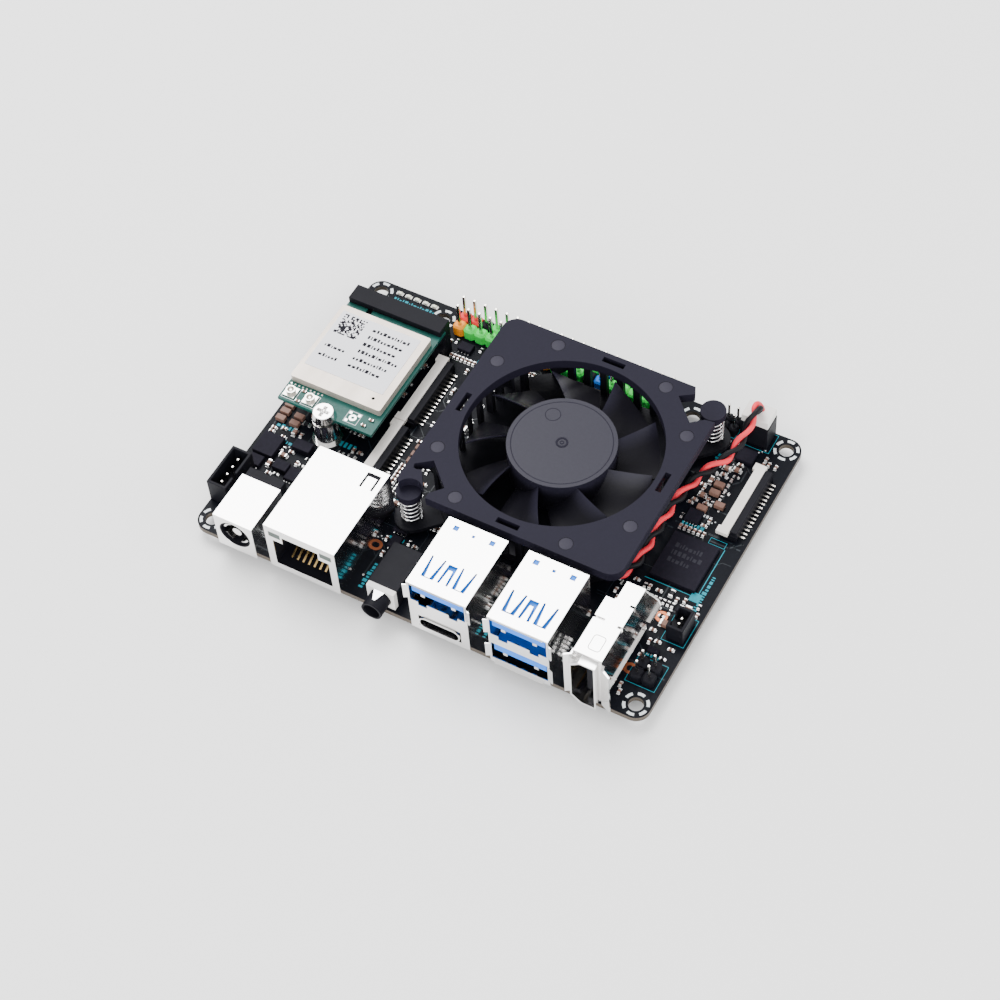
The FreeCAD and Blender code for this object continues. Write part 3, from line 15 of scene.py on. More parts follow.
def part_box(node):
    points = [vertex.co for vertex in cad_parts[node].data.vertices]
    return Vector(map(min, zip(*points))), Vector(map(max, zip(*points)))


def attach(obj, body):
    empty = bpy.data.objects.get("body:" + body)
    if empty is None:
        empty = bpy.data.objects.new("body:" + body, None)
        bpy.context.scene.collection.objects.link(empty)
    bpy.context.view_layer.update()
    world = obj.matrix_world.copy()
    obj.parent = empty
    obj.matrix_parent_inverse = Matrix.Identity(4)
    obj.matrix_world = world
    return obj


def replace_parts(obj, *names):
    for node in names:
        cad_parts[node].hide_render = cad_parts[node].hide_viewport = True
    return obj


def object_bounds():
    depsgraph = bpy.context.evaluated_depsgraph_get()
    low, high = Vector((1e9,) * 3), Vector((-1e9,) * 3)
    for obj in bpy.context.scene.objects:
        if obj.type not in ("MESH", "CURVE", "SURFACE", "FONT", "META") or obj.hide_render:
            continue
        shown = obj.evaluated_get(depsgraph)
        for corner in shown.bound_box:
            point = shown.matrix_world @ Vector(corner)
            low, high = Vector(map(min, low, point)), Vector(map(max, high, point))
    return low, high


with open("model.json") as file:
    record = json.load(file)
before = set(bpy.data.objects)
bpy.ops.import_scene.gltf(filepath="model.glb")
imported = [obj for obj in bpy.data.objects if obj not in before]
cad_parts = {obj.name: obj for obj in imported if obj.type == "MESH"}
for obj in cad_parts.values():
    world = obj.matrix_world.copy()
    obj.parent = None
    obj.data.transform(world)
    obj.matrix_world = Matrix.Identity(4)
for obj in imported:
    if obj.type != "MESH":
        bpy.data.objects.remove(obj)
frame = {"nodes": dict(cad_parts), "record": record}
cad_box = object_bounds()
random.seed(11)

MM = 0.001
ROOT = "circuit_board"
BODY_OF = {node: body for body, nodes in frame["record"]["behaviour"]["bodies"].items() for node in nodes}
SLOT_OF = {row["node"]: row["material_slot"] for row in frame["record"]["subparts"]}
CORNER = Vector((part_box("main_board")[0].x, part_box("main_board")[0].y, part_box("main_board")[1].z))


def spot(x, y, z=0.0):
    return CORNER + Vector((x, y, z)) * MM


# ---------------------------------------------------------------- camera and surfaces

camera_data = bpy.data.cameras.new("camera")
camera_data.lens = 86.77
camera_data.sensor_width = 36.0
camera_data.clip_start = 0.01
camera = bpy.data.objects.new("camera", camera_data)
bpy.context.scene.collection.objects.link(camera)
RIGHT, UP, BACK = Vector((0.8745, 0.4820, -0.0515)), Vector((-0.3644, 0.7237, 0.5860)), Vector((0.3194, -0.4937, 0.8089))
turn = Matrix((RIGHT, UP, BACK)).transposed().to_4x4()
camera.matrix_world = Matrix.Translation(Vector((0.15416, -0.23881, 0.38680))) @ turn
bpy.context.scene.camera = camera


def noise(nodes, links, vector, size, detail=2.0):
    """A noise texture whose grains are about that many millimetres across."""
    node = nodes.new("ShaderNodeTexNoise")
    node.inputs["Scale"].default_value = 1.0 / (size * MM)
    node.inputs["Detail"].default_value = detail
    links.new(vector, node.inputs["Vector"])
    return node.outputs["Fac"]


def surface(name, color, rough, metallic=0.0, mottle=0.10, patch=3.0, grain=0.25, depth=0.006,
            stretch=(1, 1, 1), uneven=0.15, specular=0.5):
    """Principled surface: patchy colour, uneven gloss and a fine grain, with sizes in millimetres."""
    made = bpy.data.materials.new(name)
    made.use_nodes = True
    nodes, links = made.node_tree.nodes, made.node_tree.links
    shader = nodes["Principled BSDF"]
    shader.inputs["Metallic"].default_value = metallic
    shader.inputs["Specular IOR Level"].default_value = specular
    where = nodes.new("ShaderNodeTexCoord").outputs["Object"]
    mapping = nodes.new("ShaderNodeMapping")
    mapping.inputs["Scale"].default_value = stretch
    links.new(where, mapping.inputs["Vector"])
    where = mapping.outputs["Vector"]
    patches = noise(nodes, links, where, patch, 3.0)
    mix = nodes.new("ShaderNodeMix")
    mix.data_type = "RGBA"
    mix.inputs["A"].default_value = (*[value * (1 - mottle) for value in color], 1)
    mix.inputs["B"].default_value = (*[min(1.0, value * (1 + mottle)) for value in color], 1)
    links.new(patches, mix.inputs["Factor"])
    links.new(mix.outputs["Result"], shader.inputs["Base Color"])
    fine = noise(nodes, links, where, grain, 2.0)
    gloss = nodes.new("ShaderNodeMapRange")
    gloss.inputs["From Min"].default_value = 0.3
    gloss.inputs["From Max"].default_value = 0.7
    gloss.inputs["To Min"].default_value = rough * (1 - uneven)
    gloss.inputs["To Max"].default_value = min(1.0, rough * (1 + uneven))
    links.new(patches if metallic > 0.5 else fine, gloss.inputs["Value"])
    links.new(gloss.outputs["Result"], shader.inputs["Roughness"])
    if depth:
        bump = nodes.new("ShaderNodeBump")
        bump.inputs["Strength"].default_value = 0.5
        bump.inputs["Distance"].default_value = depth * MM
        links.new(fine, bump.inputs["Height"])
        links.new(bump.outputs["Normal"], shader.inputs["Normal"])
    return made


def layered(made, low, high, color, soft=0.02):
    """Tints a surface with another colour between two heights of its own z, in millimetres."""
    nodes, links = made.node_tree.nodes, made.node_tree.links
    shader = nodes["Principled BSDF"]
    split = nodes.new("ShaderNodeSeparateXYZ")
    links.new(nodes.new("ShaderNodeTexCoord").outputs["Object"], split.inputs["Vector"])
    edges = []
    for limit, sign in ((low, 1), (high, -1)):
        ramp = nodes.new("ShaderNodeMapRange")
        ramp.inputs["From Min"].default_value = (limit - soft * sign) * MM
        ramp.inputs["From Max"].default_value = (limit + soft * sign) * MM
        links.new(split.outputs["Z"], ramp.inputs["Value"])
        edges.append(ramp.outputs["Result"])
    both = nodes.new("ShaderNodeMath")
    both.operation = "MULTIPLY"
    links.new(edges[0], both.inputs[0])
    links.new(edges[1], both.inputs[1])
    mix = nodes.new("ShaderNodeMix")
    mix.data_type = "RGBA"
    links.new(both.outputs["Value"], mix.inputs["Factor"])
    links.new(shader.inputs["Base Color"].links[0].from_socket, mix.inputs["A"])
    mix.inputs["B"].default_value = (*color, 1)
    links.new(mix.outputs["Result"], shader.inputs["Base Color"])
    return made


LOOKS = {
    "board": layered(surface("solder_mask", (0.0035, 0.0042, 0.007), 0.36, mottle=0.35, patch=1.2, grain=0.35,
                             depth=0.004, specular=0.05), 0.04, 1.16, (0.10, 0.085, 0.07)),
    "green_board": surface("green_solder_mask", (0.006, 0.070, 0.058), 0.36, mottle=0.25, patch=1.0, grain=0.3,
                           depth=0.004, specular=0.2),
    "orange_plastic": surface("orange_moulding", (0.95, 0.30, 0.015), 0.45, grain=0.12, specular=0.25),
    "red_plastic": surface("red_moulding", (0.72, 0.025, 0.025), 0.45, grain=0.12, specular=0.25),
    "black_plastic": surface("black_moulding", (0.007, 0.007, 0.010), 0.48, mottle=0.25, grain=0.12, specular=0.07),
    "green_plastic": surface("green_moulding", (0.045, 0.74, 0.10), 0.45, grain=0.12, specular=0.25),
    "blue_plastic": surface("blue_moulding", (0.015, 0.20, 0.80), 0.42, grain=0.15, specular=0.25),
    "white_plastic": surface("white_nylon", (0.80, 0.79, 0.76), 0.5, mottle=0.06, grain=0.2, specular=0.25),
    "latch_plastic": surface("cream_moulding", (0.76, 0.72, 0.68), 0.5, mottle=0.06, grain=0.2, specular=0.2),
    "clear_plastic": surface("frosted_guide", (0.09, 0.11, 0.10), 0.4, mottle=0.05, specular=0.1),
    "plated_pin": surface("tinned_pin", (0.74, 0.71, 0.66), 0.20, metallic=1.0, stretch=(1, 1, 0.2), depth=0.0),
    "chip_epoxy": surface("moulded_epoxy", (0.010, 0.009, 0.015), 0.6, mottle=0.3, patch=0.8, grain=0.08,
                          depth=0.010, specular=0.06),
    "pad_rubber": surface("thermal_rubber", (0.30, 0.32, 0.36), 0.8, mottle=0.15, grain=0.2, specular=0.2),
    "dark_anodised": surface("anodised_fins", (0.008, 0.008, 0.011), 0.42, metallic=0.1, mottle=0.25, patch=2.0,
                             stretch=(1, 1, 0.2), grain=0.12, depth=0.006, specular=0.08),
    "fan_plastic": surface("matte_fan_moulding", (0.010, 0.009, 0.0175), 0.60, mottle=0.12, patch=0.6,
                           grain=0.10, depth=0.012, uneven=0.15, specular=0.10),
    "bright_metal": surface("nickel_sheet", (0.86, 0.85, 0.84), 0.15, metallic=1.0, mottle=0.02, patch=8.0,
                            depth=0.0, uneven=0.12),
    "shield_metal": surface("tinned_shield", (0.60, 0.53, 0.47), 0.42, metallic=0.55, mottle=0.05, patch=4.0,
                            stretch=(1, 0.3, 1), grain=0.25, depth=0.003, specular=0.3),
    "winding": surface("winding_copper", (0.42, 0.15, 0.05), 0.35, metallic=0.8, stretch=(1, 1, 6), grain=0.3,
                       depth=0.05),
    "bronze": surface("sintered_bronze", (0.45, 0.27, 0.11), 0.5, metallic=1.0, grain=0.08),
    "magnet": surface("bonded_magnet", (0.02, 0.02, 0.02), 0.7, grain=0.1, specular=0.2),
    "spring_steel": surface("spring_wire", (0.66, 0.66, 0.67), 0.18, metallic=1.0, grain=0.2, depth=0.0),
    "wire_cover": surface("red_insulation", (0.82, 0.035, 0.055), 0.45, mottle=0.08, patch=1.0, grain=0.2,
                          specular=0.25),
    "gold": surface("gold_flash", (0.86, 0.58, 0.24), 0.24, metallic=1.0, mottle=0.1, grain=0.15, depth=0.0),
    "label": surface("label_paper", (0.80, 0.80, 0.84), 0.7, mottle=0.02, grain=0.1, depth=0.003, specular=0.1),
    "ceramic": surface("fired_ceramic", (0.20, 0.11, 0.085), 0.5, mottle=0.2, patch=0.8, grain=0.1, specular=0.2),
    "solder": surface("solder", (0.66, 0.66, 0.66), 0.3, metallic=1.0, mottle=0.15, patch=0.7, grain=0.2,
                      depth=0.01),
}
EXTRA = {
    "black_wire": surface("black_insulation", (0.006, 0.006, 0.008), 0.45, mottle=0.2, grain=0.2, specular=0.15),
    "silk": surface("white_ink", (0.72, 0.76, 0.78), 0.6, mottle=0.12, patch=0.6, grain=0.1, specular=0.1),
    "teal": surface("teal_ink", (0.02, 0.26, 0.33), 0.6, mottle=0.2, patch=0.6, grain=0.1, specular=0.1),
    "copper": surface("bare_copper", (0.38, 0.12, 0.055), 0.34, metallic=1.0, mottle=0.15, grain=0.2, depth=0.0),
    "tin": surface("tinned_pad", (0.76, 0.75, 0.74), 0.28, metallic=1.0, mottle=0.10, patch=0.8, grain=0.2,
                   depth=0.0),
    "trace": surface("masked_copper", (0.008, 0.013, 0.018), 0.32, mottle=0.2, grain=0.3, depth=0.0, specular=0.2),
    "resistor": surface("resistor_glaze", (0.008, 0.008, 0.011), 0.4, mottle=0.2, grain=0.1, specular=0.2),
    "ferrite": surface("moulded_ferrite", (0.022, 0.022, 0.030), 0.65, mottle=0.3, patch=0.5, grain=0.08,
                       depth=0.015, specular=0.12),
    "ink": surface("dark_print", (0.012, 0.012, 0.016), 0.7, mottle=0.1, depth=0.0, specular=0.05),
    "lamp": surface("clear_lamp", (0.78, 0.80, 0.66), 0.25, mottle=0.05, specular=0.3),
    "rivet": surface("rivet_head", (0.022, 0.020, 0.032), 0.55, mottle=0.12, patch=0.5, grain=0.1, depth=0.010,
                     specular=0.16),
    # Fan rotor surface: glossy moulding, painted darker below 12.4 mm of its own height (the hub's top), as painted
    # shade on the lower blades.
    "blades": layered(surface("glossy_fan_moulding_painted_shade", (0.014, 0.013, 0.023), 0.42, mottle=0.12, patch=0.6,
                              grain=0.10, depth=0.008, specular=0.16), -5.0, 12.4, (0.0045, 0.004, 0.007), 1.1),
    # A plain dark grey that stands for the shade in a pressed groove: painted shade.
    "groove": surface("shaded_groove", (0.06, 0.06, 0.065), 0.5, mottle=0.1, specular=0.1),
    "floor": surface("studio_paper", (0.97, 0.97, 0.97), 0.85, mottle=0.005, patch=40.0, grain=2.0, depth=0.0,
                     specular=0.2),
}


# ---------------------------------------------------------------- building pieces

class Mesh:
    """Collects simple solids into one mesh with several materials."""

    def __init__(self, name, *looks):
        self.name, self.looks = name, looks
        self.mesh = bmesh.new()

    def faces(self, corners, faces, look):
        made = [self.mesh.verts.new(corner) for corner in corners]
        for face in faces:
            self.mesh.faces.new([made[index] for index in face]).material_index = self.looks.index(look)

    def slab(self, low, high, look, inset=0.0, at=None, heading=0.0):
        """A block from its low to its high corner in millimetres, with its top edges chamfered.
        With at and heading, the corners are measured from a turned place instead."""
        x0, y0, z0 = low
        x1, y1, z1 = high
        rows = [(0.0, z0), (0.0, z1 - inset), (inset, z1)] if inset else [(0.0, z0), (0.0, z1)]
        corners = []
        for step, z in rows:
            corners += [(x0 + step, y0 + step, z), (x1 - step, y0 + step, z), (x1 - step, y1 - step, z),
                        (x0 + step, y1 - step, z)]
        if at:
            c, s = math.cos(heading), math.sin(heading)
            corners = [(at[0] + x * c - y * s, at[1] + x * s + y * c, z) for x, y, z in corners]
        count = len(rows)
        faces = [(3, 2, 1, 0), tuple(4 * (count - 1) + index for index in range(4))]
        for row in range(count - 1):
            for index in range(4):
                after = (index + 1) % 4
                faces.append((4 * row + index, 4 * row + after, 4 * row + 4 + after, 4 * row + 4 + index))
        self.faces([spot(*corner) for corner in corners], faces, look)

    def ring(self, centre, inner, outer, height, look, parts=40, span=(0.0, 360.0), lean=0.0):
        """A flat ring or an arc of one, as a closed solid. lean chamfers its upper edges."""
        x, y, z = centre
        start, end = (math.radians(value) for value in span)
        whole = abs(end - start) > 2 * math.pi - 0.001
        steps = parts if whole else parts + 1
        section = [(inner, 0), (outer, 0), (outer, height - lean), (outer - lean, height), (inner + lean, height),
                   (inner, height - lean)] if lean else [(inner, 0), (outer, 0), (outer, height), (inner, height)]
        width = len(section)
        corners = []
        for step in range(steps):
            angle = start + (end - start) * step / parts
            corners += [(x + r * math.cos(angle), y + r * math.sin(angle), z + h) for r, h in section]
        faces = []
        for step in range(parts):
            after = (step + 1) % steps
            for index in range(width):
                nearby = (index + 1) % width
                faces.append((width * step + index, width * after + index, width * after + nearby,
                              width * step + nearby))
        if not whole:
            faces.append(tuple(range(width)))
            faces.append(tuple(width * (steps - 1) + index for index in reversed(range(width))))
        self.faces([spot(*corner) for corner in corners], faces, look)

    def disc(self, centre, profile, look, parts=28):
        """A round solid from (radius, height) pairs, closed at both ends."""
        x, y, z = centre
        corners = []
        for radius, height in profile:
            for step in range(parts):
                angle = 2 * math.pi * step / parts
                corners.append((x + radius * math.cos(angle), y + radius * math.sin(angle), z + height))
        faces = [tuple(reversed(range(parts))), tuple(parts * (len(profile) - 1) + index for index in range(parts))]
        for row in range(len(profile) - 1):
            for step in range(parts):
                after = (step + 1) % parts
                faces.append((parts * row + step, parts * row + after, parts * (row + 1) + after,
                              parts * (row + 1) + step))
        self.faces([spot(*corner) for corner in corners], faces, look)

    def ribbon(self, points, width, look, z=0.005, thick=0.012):
        """A thin flat line over the board along points in millimetres."""
        for (x0, y0), (x1, y1) in zip(points, points[1:]):
            length = math.hypot(x1 - x0, y1 - y0)
            self.slab((-width / 2, -width / 2, z), (length + width / 2, width / 2, z + thick), look,
                      at=(x0, y0), heading=math.atan2(y1 - y0, x1 - x0))

    def frame(self, x0, y0, x1, y1, width, look, z=0.005):
        """A thin rectangle outline."""
        self.slab((x0, y0, z), (x1, y0 + width, z + 0.012), look)
        self.slab((x0, y1 - width, z), (x1, y1, z + 0.012), look)
        self.slab((x0, y0 + width, z), (x0 + width, y1 - width, z + 0.012), look)
        self.slab((x1 - width, y0 + width, z), (x1, y1 - width, z + 0.012), look)

    def ticks(self, x, y, length, look, z=0.005, heading=0.0, tall=0.9):
        """A row of short plain bars of uneven width."""
        along = 0.0
        while along < length:
            width = random.choice((0.25, 0.45, 0.7))
            rise = tall * random.choice((0.7, 1.0))
            self.slab((along, 0, z), (along + width, rise, z + 0.012), look, at=(x, y), heading=heading)
            along += width + 0.3

    def done(self, body=ROOT, smooth=False):
        mesh = bpy.data.meshes.new(self.name)
        bmesh.ops.recalc_face_normals(self.mesh, faces=self.mesh.faces)
        self.mesh.to_mesh(mesh)
        self.mesh.free()
        for look in self.looks:
            mesh.materials.append(EXTRA.get(look) or LOOKS[look])
        piece = bpy.data.objects.new(self.name, mesh)
        bpy.context.scene.collection.objects.link(piece)
        if smooth:
            mesh.shade_smooth()
            mesh.set_sharp_from_angle(angle=math.radians(35))
        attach(piece, body)
        return piece


def softened(node, width, steps=2, angle=32, look=None):
    """A copy of a node's solid with its sharp edges rounded, standing for the node."""
    mesh = frame["nodes"][node].data.copy()
    mesh.name = node + "_soft"
    work = bmesh.new()
    work.from_mesh(mesh)
    bmesh.ops.remove_doubles(work, verts=work.verts, dist=2e-6)
    bmesh.ops.dissolve_limit(work, angle_limit=math.radians(0.4), verts=work.verts, edges=work.edges)
    work.to_mesh(mesh)
    work.free()
    mesh.materials.clear()
    mesh.materials.append(look or LOOKS[SLOT_OF[node]])
    piece = bpy.data.objects.new(node + "_soft", mesh)
    bpy.context.scene.collection.objects.link(piece)
    mesh.shade_smooth()
    mesh.set_sharp_from_angle(angle=math.radians(angle))
    bevel = piece.modifiers.new("rounded_edges", "BEVEL")
    bevel.width = width * MM
    bevel.segments = steps
    bevel.limit_method = "ANGLE"
    bevel.angle_limit = math.radians(angle)
    bevel.harden_normals = True
    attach(piece, BODY_OF[node])
    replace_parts(piece, node)
    return piece


# ---------------------------------------------------------------- fan lead: two twisted wires

LEAD_ROUTE = [(67.8, 34.3, 4.6), (69.2, 29.6, 4.6), (72.6, 25.6, 4.6), (77.4, 23.6, 4.7),
              (82.2, 23.9, 4.9), (84.3, 27.6, 5.0), (84.2, 33.4, 5.0), (84.3, 38.6, 5.0),
              (84.2, 43.6, 5.0), (85.0, 48.6, 5.0), (86.0, 53.2, 5.0), (88.2, 57.0, 5.0),
              (89.2, 60.4, 4.9), (89.7, 63.4, 6.0), (90.1, 65.4, 8.0), (90.3, 66.8, 9.6),
              (90.4, 68.3, 10.7), (90.4, 69.9, 9.9), (90.4, 69.9, 8.03)]
WIRE_RADIUS = 0.6
TWIST_PITCH = 8.6


def route_points():
    curve = bpy.data.curves.new("lead_line", "CURVE")
    curve.dimensions = "3D"
    curve.resolution_u = 16
    spline = curve.splines.new("NURBS")
    spline.points.add(len(LEAD_ROUTE) - 1)
    for point, place in zip(spline.points, LEAD_ROUTE):
        point.co = (*spot(*place), 1.0)
    spline.order_u = 3
    spline.use_endpoint_u = True
    line = bpy.data.objects.new("lead_line", curve)
    bpy.context.scene.collection.objects.link(line)
    mesh = bpy.data.meshes.new_from_object(line)
    points = [vertex.co.copy() for vertex in mesh.vertices]
    bpy.data.objects.remove(line)
    return points


def twisted_lead():
    points = route_points()
    work = bmesh.new()
    sides = 10
    for strand, look in ((0, 0), (1, 1)):
        along = 0.0
        across = Vector((0, 0, 1)).cross(points[1] - points[0]).normalized()
        rows = []
        for index, point in enumerate(points):
            before, after = points[max(0, index - 1)], points[min(len(points) - 1, index + 1)]
            heading = (after - before).normalized()
            across = (across - heading * across.dot(heading)).normalized()
            if index:
                along += (point - points[index - 1]).length
            angle = 2 * math.pi * (along / (TWIST_PITCH * MM)) + math.pi * strand + 0.9
            out = across * math.cos(angle) + heading.cross(across) * math.sin(angle)
            centre = point + out * WIRE_RADIUS * MM
            side = heading.cross(out)
            rows.append([work.verts.new(centre + (out * math.cos(2 * math.pi * step / sides)
                                                  + side * math.sin(2 * math.pi * step / sides))
                                        * (WIRE_RADIUS - 0.01) * MM) for step in range(sides)])
        for first, second in zip(rows, rows[1:]):
            for step in range(sides):
                after = (step + 1) % sides
                work.faces.new((first[step], first[after], second[after], second[step])).material_index = look
        work.faces.new(rows[0][::-1]).material_index = look
        work.faces.new(rows[-1]).material_index = look
    bmesh.ops.recalc_face_normals(work, faces=work.faces)
    mesh = bpy.data.meshes.new("fan_lead_wires")
    work.to_mesh(mesh)
    work.free()
    mesh.shade_smooth()
    mesh.materials.append(LOOKS["wire_cover"])
    mesh.materials.append(EXTRA["black_wire"])
    lead = bpy.data.objects.new("fan_lead_wires", mesh)
    bpy.context.scene.collection.objects.link(lead)
    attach(lead, ROOT)
    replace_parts(lead, "fan_lead")
    return lead, points


lead, lead_points = twisted_lead()


# ---------------------------------------------------------------- carried-over solids

for node, item in frame["nodes"].items():
    item.data.materials.clear()
    item.data.materials.append(EXTRA["blades"] if node == "fan_rotor" else LOOKS[SLOT_OF[node]])
    item.data.shade_smooth()
    item.data.set_sharp_from_angle(angle=math.radians(32))

SOFT_EDGES = {
    0.18: ["fan_cover", "wifi_label"],
    0.12: ["gpio_pins", "header_posts", "m2_slot", "camera_upper_latch",
           "camera_lower_latch", "display_latch", "ribbon_housings", "wire_headers", "fan_plug",
           "rtc_battery_socket", "audio_jack_body", "audio_jack_face", "dc_jack_body", "m2_screw",
           "push_pin_front", "push_pin_rear"],
    0.06: ["wifi_shield", "ethernet_shield", "dc_jack_shell", "usb_pair_shield",
           "hdmi_shell", "memory_chip", "small_chips", "heatsink", "wifi_board"],
}
for width, nodes in SOFT_EDGES.items():
    for node in nodes:
        softened(node, width)


# ---------------------------------------------------------------- blocks of the pin headers

NEAR_ROW = "OGGGKGGGOGGGKBGGGGGK"
FAR_ROW = "RRKGGGKGGKGGGBKGKGGG"
BLOCK_COLOURS = {"O": "orange", "R": "red", "K": "black", "G": "green", "B": "blue"}


def chamfered_block(blocks, x, y, pitch, height, hole, look):
    """One pin's block: a square with cut corners, a chamfered top and a square way for its pin."""
    half = pitch / 2 - 0.015
    corners = []
    for reach, clipped, z in ((half, 0.5, 0.0), (half, 0.5, height - 0.4), (half - 0.35, 0.36, height),
                              (hole, 0.05, height), (hole, 0.05, 0.0)):
        near = reach - clipped
        corners += [(x + a, y + b, z) for a, b in ((reach, -near), (reach, near), (near, reach), (-near, reach),
                                                   (-reach, near), (-reach, -near), (-near, -reach),
                                                   (near, -reach))]
    faces = []
    for ring in range(5):
        above = (ring + 1) % 5
        for side in range(8):
            after = (side + 1) % 8
            faces.append((8 * ring + side, 8 * ring + after, 8 * above + after, 8 * above + side))
    blocks.faces([spot(*corner) for corner in corners], faces, look)


def header_blocks():
    for letter, colour in BLOCK_COLOURS.items():
        node = "gpio_blocks_" + colour
        look = SLOT_OF[node]
        blocks = Mesh(f"pin_blocks_{colour}", look)
        for line, row in enumerate((NEAR_ROW, FAR_ROW)):
            for column, cell in enumerate(row):
                if cell == letter:
                    chamfered_block(blocks, 23.46 + 2.54 * column, 68.2 + 2.54 * (line - 0.5), 2.54, 2.54, 0.33,
                                    look)
        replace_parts(blocks.done(), node)
    look = SLOT_OF["jumper_blocks"]
    blocks = Mesh("jumper_feet", look)
    for left, front, pitch in ((82.6, 67.55, 2.0), (93.13, 7.18, 2.54)):
        for across in (0.5, 1.5):
            for back in (0.5, 1.5):
                chamfered_block(blocks, left + pitch * across, front + pitch * back, pitch, 1.9, 0.26, look)
    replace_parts(blocks.done(), "jumper_blocks")


header_blocks()


# ---------------------------------------------------------------- board print

FIXINGS = [(3.0, 3.0), (97.0, 3.0), (3.0, 69.0), (97.0, 69.0), (18.6, 68.2), (76.6, 68.2)]


def board_print():
    ink = Mesh("board_print", "silk", "teal", "tin", "trace", "copper")
    for x, y in FIXINGS:
        for step in range(6):
            ink.ring((x, y, 0.006), 2.0, 2.6, 0.012, "silk", parts=6, span=(60 * step + 12, 60 * step + 48))
    for x, y in ((92.5, 22.5), (92.4, 9.5), (35.4, 12.2)):
        ink.ring((x, y, 0.006), 0.62, 1.25, 0.014, "copper", parts=28)
    ink.ribbon([(96.6, 30.4), (96.6, 41.6)], 0.16, "teal")
    ink.ribbon([(85.6, 29.3), (95.2, 29.3)], 0.16, "teal")
    ink.slab((95.3, 28.2, 0.005), (97.4, 30.3, 0.02), "teal")
    for x0, y0, x1, y1 in ((92.9, 41.8, 96.4, 43.3), (94.6, 17.9, 99.4, 24.7), (92.6, 6.7, 98.9, 12.9),
                           (86.6, 66.6, 94.2, 71.6), (82.1, 67.0, 86.5, 71.6)):
        ink.frame(x0, y0, x1, y1, 0.10, "teal")
    for x, y, length, heading, look in (
            (97.9, 25.6, 9.5, 90, "teal"), (29.2, 2.6, 5.4, 90, "teal"), (38.0, 2.2, 6.2, 90, "teal"),
            (5.4, 25.4, 4.6, 0, "teal"), (2.0, 28.6, 3.6, 0, "teal"), (16.8, 21.6, 4.6, 90, "teal"),
            (6.4, 68.2, 9.4, 0, "teal"), (64.9, 3.0, 3.4, 90, "teal"), (49.7, 3.0, 3.4, 90, "teal"),
            (36.6, 14.8, 3.4, 0, "teal"), (86.2, 43.8, 4.2, 0, "teal"), (87.6, 47.0, 3.2, 0, "silk"),
            (86.0, 58.0, 3.8, 90, "teal"), (79.4, 69.9, 2.6, 0, "silk"), (15.0, 17.6, 3.0, 0, "teal"),
            (30.6, 61.0, 4.6, 0, "teal"), (45.0, 64.2, 5.4, 0, "teal"), (66.0, 64.2, 5.4, 0, "silk"),
            (93.6, 13.4, 3.0, 0, "teal"), (88.4, 5.2, 2.6, 0, "teal"), (30.2, 22.6, 6.0, 0, "teal")):
        ink.ticks(x, y, length, look, heading=math.radians(heading))
    for x in range(16, 20, 1):
        ink.slab((x, 29.9, 0.004), (x + 0.6, 31.2, 0.02), "teal")
    dots = random.Random(31)
    for _ in range(46):
        x, y = dots.uniform(2, 94), dots.uniform(2, 66)
        dx, dy = dots.choice(((0.62, 0), (0, 0.62), (0.5, 0.5), (0.5, -0.5)))
        for number in range(dots.randint(3, 8)):
            ink.disc((x + dx * number, y + dy * number, 0.004), ((0.15, 0.0), (0.15, 0.012)), "silk", parts=8)
    lanes = random.Random(5)
    for _ in range(230):
        x, y = lanes.uniform(1.2, 96), lanes.uniform(1.2, 69)
        run, step = lanes.uniform(1.5, 9), lanes.uniform(-2.5, 2.5)
        tail = lanes.uniform(0.5, 5)
        if lanes.random() < 0.5:
            points = [(x, y), (x + run, y), (x + run + abs(step), y + step), (x + run + abs(step) + tail, y + step)]
        else:
            points = [(x, y), (x, y + run), (x + step, y + run + abs(step)), (x + step, y + run + abs(step) + tail)]
        points = [(min(99.2, max(0.8, px)), min(71.2, max(0.8, py))) for px, py in points]
        if all(abs(px - hx) > 3.2 or abs(py - hy) > 3.2 for px, py in points for hx, hy in FIXINGS):
            ink.ribbon(points, lanes.choice((0.12, 0.18, 0.3)), "trace", z=0.001, thick=0.006)
        if lanes.random() < 0.6:
            ink.ring((x, y, 0.002), 0.10, 0.22, 0.01, lanes.choice(("tin", "trace", "trace")), parts=10)
    ink.done()


# ---------------------------------------------------------------- small parts on the board

class Ground:
    """Where the board's top is already taken, on a grid of cells."""
    CELL = 0.25

    def __init__(self):
        self.taken = set()
        top = CORNER.z
        for node, item in frame["nodes"].items():
            if node in ("main_board", "fan_lead"):
                continue
            mesh = item.data
            for face in mesh.polygons:
                corners = [mesh.vertices[index].co for index in face.vertices]
                low = min(corner.z for corner in corners) - top
                if -0.2 * MM < low < 1.1 * MM:
                    xs = [(corner.x - CORNER.x) / MM for corner in corners]
                    ys = [(corner.y - CORNER.y) / MM for corner in corners]
                    self.take(min(xs), min(ys), max(xs), max(ys))
        for x, y in FIXINGS:
            self.take(x - 3.1, y - 3.1, x + 3.1, y + 3.1)
        for node in ("camera_upper_latch", "camera_lower_latch", "display_latch"):
            low, high = [(corner - CORNER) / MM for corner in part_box(node)]
            self.take(low.x - 1.5, low.y, high.x, high.y)

    def cells(self, x0, y0, x1, y1):
        for i in range(int(x0 / self.CELL), int(x1 / self.CELL) + 1):
            for j in range(int(y0 / self.CELL), int(y1 / self.CELL) + 1):
                yield i, j

    def take(self, x0, y0, x1, y1):
        self.taken.update(self.cells(x0, y0, x1, y1))

    def free(self, x0, y0, x1, y1):
        if x0 < 0.6 or y0 < 0.6 or x1 > 99.4 or y1 > 71.4:
            return False
        return not any(cell in self.taken for cell in self.cells(x0, y0, x1, y1))


